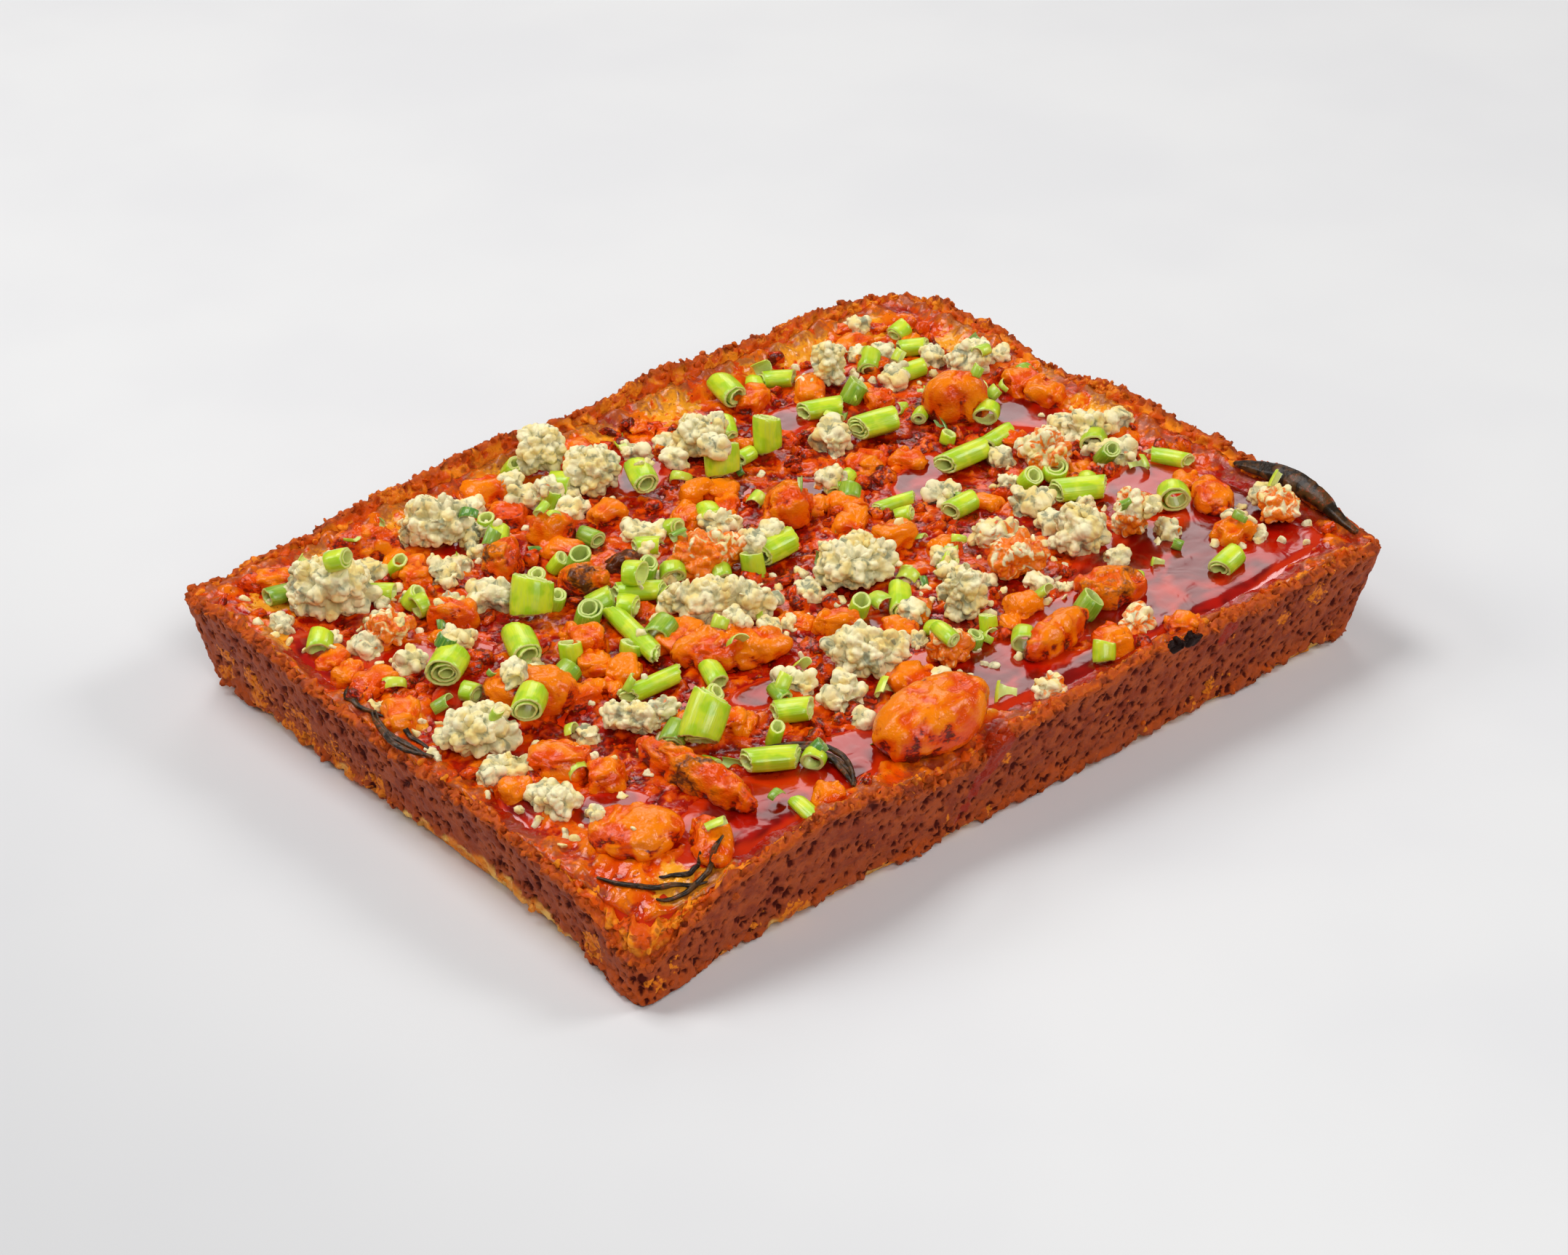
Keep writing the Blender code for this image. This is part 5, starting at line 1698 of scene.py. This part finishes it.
@dataclass(frozen=True)
class OnionStrips:
    """Each charred onion strip, shrivelled."""

    finish: Finish = CharredOnion()
    black_strip: tuple[float, ...] = (-66.5, -74.5, 17.2, 66, -44)
    left_rim: tuple[float, ...] = (-96.6, 3, 26, 150, 208)
    loose: tuple[tuple[tuple[float, float], ...], ...] = (
        ((-118, -70), (-114, -78), (-107, -84), (-100, -88)),
        ((-112, -84), (-106, -87), (-97, -86), (-92, -84)),
        ((-108, -80), (-102, -84), (-98, -83)),
        ((-116, 31), (-120.5, 26), (-121, 19), (-118, 13)),
        ((-110, 20), (-115, 13), (-118, 4), (-117.5, -5)),
    )

    def relief(self) -> Relief:
        """Wrinkles and dents."""
        tree = Relief("onion_relief", {"Shrivel": 1.1 * MM})
        graph = tree.graph
        tree.cut(1)
        tree.smooth(1)
        where = tree.at_rest()
        dents = (graph.cloud(where, 4 * MM, 3, 0.6) - 0.5) * 1.4
        uneven = dents + (graph.cloud(where, 1.4 * MM, 2) - 0.5) * 0.6
        tree.raised(uneven * tree.input("Shrivel"))
        tree.end()
        return tree

    def build(self) -> None:
        """Builds every strip in place of its CAD node."""
        tree = self.relief()
        rim = node_copy("onion_right_rim", "onion_right_rim_charred")
        keep(tree.apply(rim, self.finish), "charred_onion", "onion_right_rim")
        strips = (("onion_black_strip", self.black_strip, 3), ("onion_left_rim", self.left_rim, 2))
        for node, arc, count in strips:
            asides = [number - (count - 1) / 2 for number in range(count)]
            parts = [self.strand(self.arc(node, arc, aside), number) for number, aside in enumerate(asides)]
            obj = joined(node + "_charred", parts)
            keep(tree.apply(obj, self.finish, Shrivel=0.5 * MM), "charred_onion", node)

    def arc(self, node: str, arc: tuple[float, ...], aside: float) -> list[Vector]:
        """The places along one strand of a strip that runs round an arc.

        Args:
            node: The CAD node, which gives the heights.
            arc: The arc's middle and radius in millimetres, and its first and last angle in degrees.
            aside: How many strands the strand lies outside the strip's middle.

        Returns:
            The places.
        """
        x, y, radius, first, last = arc
        corners = np.array([vert.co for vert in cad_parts[node].data.vertices])
        around = np.degrees(np.arctan2(corners[:, 1] - y * MM, corners[:, 0] - x * MM)) % 360
        places = []
        for share in np.linspace(0, 1, 13):
            angle = first + (last - first) * share
            near = np.abs((around - angle + 180) % 360 - 180) < 9
            height = corners[near, 2].mean()
            reach = radius + aside * 1.5 * math.sin(math.pi * share) + 0.4 * math.sin(9 * share + aside * 3)
            turn = math.radians(angle)
            spot = Vector((x + reach * math.cos(turn), y + reach * math.sin(turn), 0))
            places.append(spot * MM + Vector((0, 0, height + 0.3 * MM * abs(aside))))
        return places

    def strand(self, places: list[Vector], number: int) -> bpy.types.Object:
        """Builds one thin strand along a row of places.

        Args:
            places: Where its middle runs.
            number: What makes it differ from the others.

        Returns:
            The strand, closed at both ends.
        """
        points, count = [], len(places)
        for step, place in enumerate(places):
            along = (places[min(step + 1, count - 1)] - places[max(step - 1, 0)]).normalized()
            side = along.cross(Vector((0, 0, 1))).normalized()
            size = max(math.sin(math.pi * (step + 0.25) / (count - 0.5)), 0.2) ** 0.5
            for corner in range(STRAND_CORNERS):
                turn = math.tau * corner / STRAND_CORNERS + 0.5 * math.sin(step * 0.7 + number)
                away = side * math.cos(turn) * 0.85 + Vector((0, 0, 1)) * math.sin(turn) * 0.65
                points.append(place + away * size * MM)
        obj = mesh_object("strand", np.array(points), grid_faces(count, STRAND_CORNERS, True))
        mesh = bmesh.new()
        mesh.from_mesh(obj.data)
        bmesh.ops.holes_fill(mesh, edges=[edge for edge in mesh.edges if edge.is_boundary])
        bmesh.ops.recalc_face_normals(mesh, faces=mesh.faces)
        mesh.to_mesh(obj.data)
        mesh.free()
        return obj

    def lay(self, ground: "Ground") -> None:
        """Lays loose strands near the front left corner and on the left rim."""
        parts = []
        for number, route in enumerate(self.loose):
            line = np.linspace(0, len(route) - 1, 12)
            x, y = (np.interp(line, range(len(route)), axis) for axis in zip(*route))
            plan = [(across * MM, along * MM) for across, along in zip(x, y)]
            places = [Vector((*spot, (ground.height(*spot) or 0) + 0.5 * MM)) for spot in plan]
            parts.append(self.strand(places, number))
        tree = self.relief()
        keep(tree.apply(joined("loose_onion", parts), self.finish, Shrivel=0.4 * MM), "charred_onion")


# ---- Scallions


@dataclass(frozen=True)
class Tube:
    """One leaf layer of a cut scallion: where it lies, its sizes, and how pale or dark it is."""

    middle: Vector
    turn: float
    lean: float
    radius: float
    length: float
    wall: float = 0.9 * MM
    oval: float = 0.82
    slant: float = 0.16
    first: float = 0.0
    span: float = 360.0
    pale: float = 0.0
    leafy: float = 0.0
    seed: float = 0.0
    rows: int = 44
    steps: int = 9

    def section(self) -> tuple[np.ndarray, np.ndarray, np.ndarray, np.ndarray]:
        """The wall's outline: along and inward shares, and where it is the inner side or a cut."""
        run = np.linspace(-0.97, 0.97, self.steps)
        cap = np.array((1.0, 1.02, 1.0))
        inward = np.array((0.12, 0.5, 0.88))
        along = np.concatenate([run, cap, run[::-1], -cap])
        inner = np.concatenate([np.zeros(self.steps), inward, np.ones(self.steps), inward[::-1]])
        is_cut = np.concatenate([np.zeros(self.steps), np.ones(3), np.zeros(self.steps), np.ones(3)])
        half = np.full(3, 0.5)
        is_inside = np.concatenate([np.zeros(self.steps), half, np.ones(self.steps), half])
        return along, inner, is_cut, is_inside

    def around(self, angles: np.ndarray, radius: float, seed: float) -> np.ndarray:
        """Noise read on a circle, so that it closes."""
        spots = (Vector((math.cos(a) * radius, math.sin(a) * radius, seed)) for a in angles)
        return np.array([noise.noise(spot) for spot in spots])

    def build(self) -> bpy.types.Object:
        """Builds the layer as a closed wall round its axis."""
        turn, lean = math.radians(self.turn), math.radians(self.lean)
        axis = Vector((math.cos(turn) * math.cos(lean), math.sin(turn) * math.cos(lean), math.sin(lean)))
        side = Vector((-math.sin(turn), math.cos(turn), 0))
        rise = axis.cross(side)
        along, inner, is_cut, is_inside = self.section()
        whole = self.span >= 360
        count = self.rows + (0 if whole else 1)
        angles = np.radians(self.first + self.span * np.arange(count) / self.rows)
        wave, fray = self.around(angles, 1.3, self.seed), self.around(angles, 4, self.seed + 7)
        ridge = np.cos(angles * 17 + self.seed) * 0.014
        number = np.arange(count)
        ends = 1 if whole else np.clip(np.minimum(number, count - 1 - number) / 3, 0, 1) ** 0.5
        wall = np.broadcast_to(self.wall * ends, count)[:, None]
        reach = self.radius * (1 + 0.09 * wave + ridge)[:, None] - (self.wall - wall) / 2 - wall * inner
        reach = reach * (1 - 0.05 * along**2)
        distance = (self.length / 2) * (1 + self.slant * np.cos(angles) + 0.07 * fray)[:, None] * along
        across, up = reach * np.cos(angles)[:, None], reach * np.sin(angles)[:, None] * self.oval
        points = np.array(self.middle) + distance[..., None] * axis + across[..., None] * side
        points = points + up[..., None] * rise
        grain = np.stack([angles[:, None] * self.radius + 0 * reach, distance, reach], -1)
        columns = len(along)
        rows = np.arange(count if whole else count - 1)[:, None]
        here = np.arange(columns)[None, :]
        after, next_row = (here + 1) % columns, (rows + 1) % count
        start, next_start = rows * columns, next_row * columns
        quads = [start + after, start + here, next_start + here, next_start + after]
        faces = np.stack([np.broadcast_to(quad, (len(rows), columns)) for quad in quads], -1).reshape(-1, 4)
        obj = mesh_object("layer", points.reshape(-1, 3), faces)
        set_vectors(obj, "grain", grain.reshape(-1, 3))
        inside = np.clip(is_inside + self.pale * (1 - is_inside), 0, 1)
        set_values(
            obj,
            inside=np.broadcast_to(inside, reach.shape).ravel(),
            cut=np.broadcast_to(is_cut, reach.shape).ravel(),
            leafy=self.leafy,
        )
        return obj


@dataclass(frozen=True)
class Ring:
    """A cut scallion of the CAD model: its sizes in millimetres, how its tube lies, and its layers."""

    across: float
    length: float
    turn: float
    lean: float
    layers: int = 2
    leafy: float = 0.0


RINGS = {
    "left_trio": Ring(9.5, 9, 35, 0, 3), "left_wide": Ring(11, 9, 40, 62), "left_block": Ring(8.5, 11, 66, 0),
    "left_lying": Ring(8.2, 8.5, 40, 0), "long_stalk": Ring(5.5, 22, 79, 0, 2),
    "stalk_end": Ring(5.5, 16, 0, 0, 2), "front_cup": Ring(11, 11, 20, 48, 2),
    "front_lying": Ring(7, 12, -32, 0, 2), "centre_left": Ring(8, 12, 5, 0),
    "right_cluster": Ring(7, 15, 0, 0), "right_pair": Ring(7.5, 13, -30, 0), "right_ring": Ring(9, 5, 49, 0),
    "back_wide": Ring(10, 8.5, 55, 66), "back_cup": Ring(8, 9, 60, 74, 2), "back_block": Ring(7.5, 10, 65, 0),
    "back_thick": Ring(8.5, 12, -10, 0, 3), "back_edge": Ring(8, 10, 75, 0),
}


@dataclass(frozen=True)
class Scallions:
    """The cut scallions: layered tubes, smaller bits sunk into the layer, and loose curls of leaf."""

    finish: Finish = Scallion()
    shares: tuple[float, ...] = (1.0, 0.72, 0.42)
    loose: int = 90
    rings: int = 60

    def ring(
        self, middle: Vector, ring: Ring, seed: float, rows: int = 44, steps: int = 9
    ) -> list[bpy.types.Object]:
        """Builds the nested layers of one cut scallion.

        Args:
            middle: Its middle.
            ring: Its sizes.
            seed: What makes it differ from the others.
            rows, steps: How finely each layer's mesh is divided.

        Returns:
            The layers.
        """
        parts = []
        for number, share in enumerate(self.shares[: ring.layers]):
            shift = Vector((math.cos(seed * 3), math.sin(seed * 3), 0.0)) * ring.across * 0.045 * number * MM
            tube = Tube(
                middle + shift, ring.turn + 3 * number, ring.lean, ring.across / 2 * share * MM,
                ring.length * (1 + 0.05 * number) * MM, (0.85 - 0.15 * number) * MM,
                pale=0.3 * number, leafy=ring.leafy, seed=seed + number, rows=rows, steps=steps,
            )
            parts.append(tube.build())
        return parts

    def finished(self, name: str, parts: list[bpy.types.Object], *nodes: str) -> None:
        """Joins parts, gives them the finish and hands them to the frame."""
        obj = joined(name, parts)
        obj.data.materials.append(self.finish.material())
        keep(obj, "scallion_green", *nodes)

    def build(self) -> None:
        """Builds every ring in place of its CAD node."""
        for number, (name, ring) in enumerate(RINGS.items()):
            node = "scallion_" + name
            corners = [vert.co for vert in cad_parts[node].data.vertices]
            middle = sum(corners, Vector()) / len(corners)
            self.finished(node + "_cut", self.ring(middle, ring, number * 1.7), node)

    def small(self) -> None:
        """Builds the small bits that the CAD model fuses to the layer."""
        parts = []
        for number, (x, y, length, width, height, turn) in enumerate(SMALL_SCALLIONS):
            across = min(width, height + 0.5)
            base = float(FORM.layer(np.array([x * MM]), np.array([y * MM]))[0]) - SMALL_SINK * MM
            short = length < 9.5 and number % 3 == 0
            ring = Ring(across, 5.0 if short else length * 0.95, turn, 55 if short else 4 * (number % 3), 2)
            middle = Vector((x * MM, y * MM, base + (height - across * 0.42) * MM))
            parts += self.ring(middle, ring, 40 + number * 1.3, 32, 7)
        self.finished("small_scallions", parts)

    def loose_rings(self, ground: "Ground") -> None:
        """Drops smaller cut rings over the middle, mostly where nothing else lies."""
        draw = random.Random(19)
        inner = np.exp(-((ground.x / 0.1) ** 4 + ((ground.y - 0.01) / 0.07) ** 4))
        share = inner * np.clip(ripple(ground.x, ground.y, 24 * MM, 37) + 0.5, 0.05, 1) * (0.15 + ground.bare)
        parts = []
        for number, place in enumerate(ground.places(share, self.rings, 47, 7 * MM)):
            across, length = draw.uniform(4.5, 8.0), draw.uniform(3.0, 7.5)
            lean, turn = draw.choice((0, 8, 20, 55, 75)), draw.uniform(-90, 90)
            layers, leafy = draw.choice((1, 2)), draw.choice((0.0, 0.0, 0.2, 0.6))
            ring = Ring(across, length, turn, lean, layers, leafy)
            parts += self.ring(place + Vector((0, 0, across * 0.36 * MM)), ring, 80 + number * 1.1, 24, 5)
        self.finished("loose_scallions", parts)

    def curls(self, ground: "Ground") -> None:
        """Drops thin curls and bits of leaf on whatever lies below them."""
        draw = random.Random(17)
        parts = []
        for number in range(self.loose):
            x, y = draw.uniform(-112, 116) * MM, draw.uniform(-82, 84) * MM
            radius, length = draw.uniform(1.6, 3.4) * MM, draw.uniform(1.5, 5.0) * MM
            span, turn, lean = draw.uniform(110, 240), draw.uniform(-90, 90), draw.uniform(-15, 65)
            leafy = draw.choice((0.0, 0.0, 0.2, 0.7, 1.0))
            height = ground.height(x, y)
            if height is None:
                continue
            middle = Vector((x, y, height + radius * 0.45))
            tube = Tube(
                middle, turn, lean, radius, length, 0.45 * MM, first=draw.uniform(0, 360), span=span,
                leafy=leafy, seed=number * 0.9, rows=14, steps=4, pale=0.15,
            )
            parts.append(tube.build())
        self.finished("scallion_curls", parts)


# ---- Loose bits


class Ground:
    """The top of everything that is built, on which loose bits are dropped."""

    inset = 7 * MM
    bare_height = 2 * MM
    least_height = 15 * MM
    sheet_height = 10 * MM
    steepest = 1.8 * MM

    def __init__(self, step: float = 1.6 * MM) -> None:
        """Reads the heights of what is built so far on a grid.

        Args:
            step: The grid's step in metres.
        """
        depsgraph = bpy.context.evaluated_depsgraph_get()
        built = [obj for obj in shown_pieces() if obj.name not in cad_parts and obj.name != "crust_baked"]
        self.trees = [BVHTree.FromObject(obj, depsgraph) for obj in built]
        half_x, half_y = FORM.length / 2 - self.inset, FORM.width / 2 - self.inset
        self.x, self.y = np.meshgrid(np.arange(-half_x, half_x, step), np.arange(-half_y, half_y, step))
        found = [self.height(x, y) or 0.0 for x, y in zip(self.x.ravel(), self.y.ravel())]
        self.z = np.array(found).reshape(self.x.shape)
        self.bare = self.z < FORM.layer(self.x, self.y) + self.bare_height

    def height(self, x: float, y: float) -> float | None:
        """The height of the highest surface at a plan place."""
        hits = (tree.ray_cast(Vector((x, y, 0.1)), Vector((0, 0, -1))) for tree in self.trees)
        heights = [hit[0].z for hit in hits if hit[0] is not None]
        return max(heights) if heights else None

    def away(self, prefixes: tuple[str, ...]) -> np.ndarray:
        """How far each place of the grid lies outside the nodes whose names begin so, in metres."""
        least = np.full(self.x.shape, 1.0)
        for node in (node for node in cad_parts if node.startswith(prefixes)):
            low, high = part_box(node)
            away = np.hypot(self.x - (low.x + high.x) / 2, self.y - (low.y + high.y) / 2)
            least = np.minimum(least, away - (high.x - low.x + high.y - low.y) / 4)
        return least

    def places(self, share: np.ndarray, count: int, seed: int, apart: float) -> list[Vector]:
        """Draws places for loose pieces.

        Args:
            share: How likely each place of the grid is.
            count: How many places are drawn.
            seed: The draw's seed.
            apart: The least distance between two of them.

        Returns:
            The places, on top of what lies there.
        """
        draw = np.random.default_rng(seed)
        weights = (share * (self.z > self.least_height)).ravel()
        tries = min(count * 12, share.size // 2)
        order = draw.choice(share.size, size=tries, replace=False, p=weights / weights.sum())
        found: list[Vector] = []
        for number in order:
            place = Vector((self.x.ravel()[number], self.y.ravel()[number], self.z.ravel()[number]))
            if all((place.xy - other.xy).length > apart for other in found):
                found.append(place)
            if len(found) == count:
                break
        return found

    def patch(self, name: str, share: np.ndarray) -> bpy.types.Object:
        """Makes a sheet over the gentle slopes.

        Args:
            name: The object's name.
            share: How thickly each place of the grid is to be strewn, from 0 to 1.

        Returns:
            The sheet, with the value "near".
        """
        faces = grid_faces(*self.x.shape, False)
        heights = self.z.ravel()[faces]
        gentle = np.ptp(heights, axis=1) < self.steepest
        faces = faces[gentle & (heights.min(axis=1) > self.sheet_height)]
        obj = mesh_object(name, np.stack([self.x, self.y, self.z], -1).reshape(-1, 3), faces)
        set_values(obj, near=share.ravel())
        return obj


# ---- Floor, lights and camera


@dataclass(frozen=True)
class Lamp:
    """A soft rectangular light: where it stands round the pizza, its size, power and colour."""

    name: str
    azimuth: float
    elevation: float
    distance: float
    size: float
    power: float
    colour: Colour = (1.0, 1.0, 1.0)


@dataclass(frozen=True)
class Studio:
    """The pale floor, the soft lights and the camera."""

    azimuth: float = -40.744
    elevation: float = 31.755
    distance: float = 966.68 * MM
    target: tuple[float, float, float] = (9.686 * MM, 12.721 * MM, 0.0)
    lens: float = 83.49
    sensor: float = 36.0
    clip_start: float = 0.01
    floor_size: float = 6.0
    floor_steps: int = 24
    world: float = 0.1
    finish: Finish = PaleFloor()
    lamps: tuple[Lamp, ...] = (
        Lamp("overhead", 205, 66, 1.6, 0.7, 12.2),
        Lamp("left", 225, 35, 1.9, 0.6, 8.2),
        Lamp("front", -25, 42, 1.7, 0.7, 10.4),
        Lamp("right", 60, 40, 1.9, 0.6, 10.6),
        Lamp("back", 139, 34, 1.5, 0.6, 3.0, (1.0, 0.96, 0.95)),
    )

    def toward(self, azimuth: float, elevation: float) -> Vector:
        """The direction of an azimuth from the front and an elevation, in degrees."""
        turn, rise = math.radians(azimuth), math.radians(elevation)
        return Vector((math.sin(turn) * math.cos(rise), -math.cos(turn) * math.cos(rise), math.sin(rise)))

    def build(self) -> None:
        """Sets up the floor, the lights, the world and the camera."""
        self.floor()
        for lamp in self.lamps:
            light = bpy.data.lights.new(lamp.name, "AREA")
            light.size = lamp.size
            light.energy = lamp.power
            light.color = lamp.colour
            place = self.toward(lamp.azimuth, lamp.elevation)
            self.stand(bpy.data.objects.new(lamp.name, light), place * lamp.distance, place)
        world = bpy.data.worlds.new("soft_sky")
        world.use_nodes = True
        world.node_tree.nodes["Background"].inputs["Color"].default_value = (1.0, 1.0, 1.0, 1.0)
        world.node_tree.nodes["Background"].inputs["Strength"].default_value = self.world
        bpy.context.scene.world = world
        bpy.context.scene.view_settings.view_transform = "Standard"
        camera = bpy.data.cameras.new("camera")
        camera.sensor_width = self.sensor
        camera.lens = self.lens
        camera.clip_start = self.clip_start
        back = self.toward(self.azimuth, self.elevation)
        obj = bpy.data.objects.new("camera", camera)
        self.stand(obj, Vector(self.target) + back * self.distance, back)
        bpy.context.scene.camera = obj

    def stand(self, obj: bpy.types.Object, place: Vector, back: Vector) -> None:
        """Puts a lamp or the camera somewhere, looking against a direction."""
        obj.matrix_world = Matrix.Translation(place) @ back.to_track_quat("Z", "Y").to_matrix().to_4x4()
        bpy.context.scene.collection.objects.link(obj)

    def floor(self) -> None:
        """Builds the floor as a finely divided sheet at the pizza's underside."""
        line = np.linspace(-self.floor_size / 2, self.floor_size / 2, self.floor_steps)
        x, y = np.meshgrid(line, line)
        points = np.stack([x, y, np.zeros(x.shape)], -1).reshape(-1, 3)
        obj = mesh_object("studio_floor", points, grid_faces(*x.shape, False))
        obj.data.materials.append(self.finish.material())
        obj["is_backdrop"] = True


def main() -> None:
    """Builds the pizza piece by piece, then the studio."""
    logging.basicConfig(level=logging.INFO, format="%(message)s")
    Crust().build()
    CheeseLayer().build()
    SaucePools().build()
    ChickenPieces().build()
    clumps, scallions = BlueCheeseClumps(), Scallions()
    clumps.build()
    onions = OnionStrips()
    onions.build()
    scallions.build()
    scallions.small()
    ground = Ground()
    clumps.scatter(ground)
    SauceBits().scatter(ground)
    onions.lay(ground)
    scallions.loose_rings(ground)
    scallions.curls(ground)
    Studio().build()


if __name__ == "__main__":
    main()
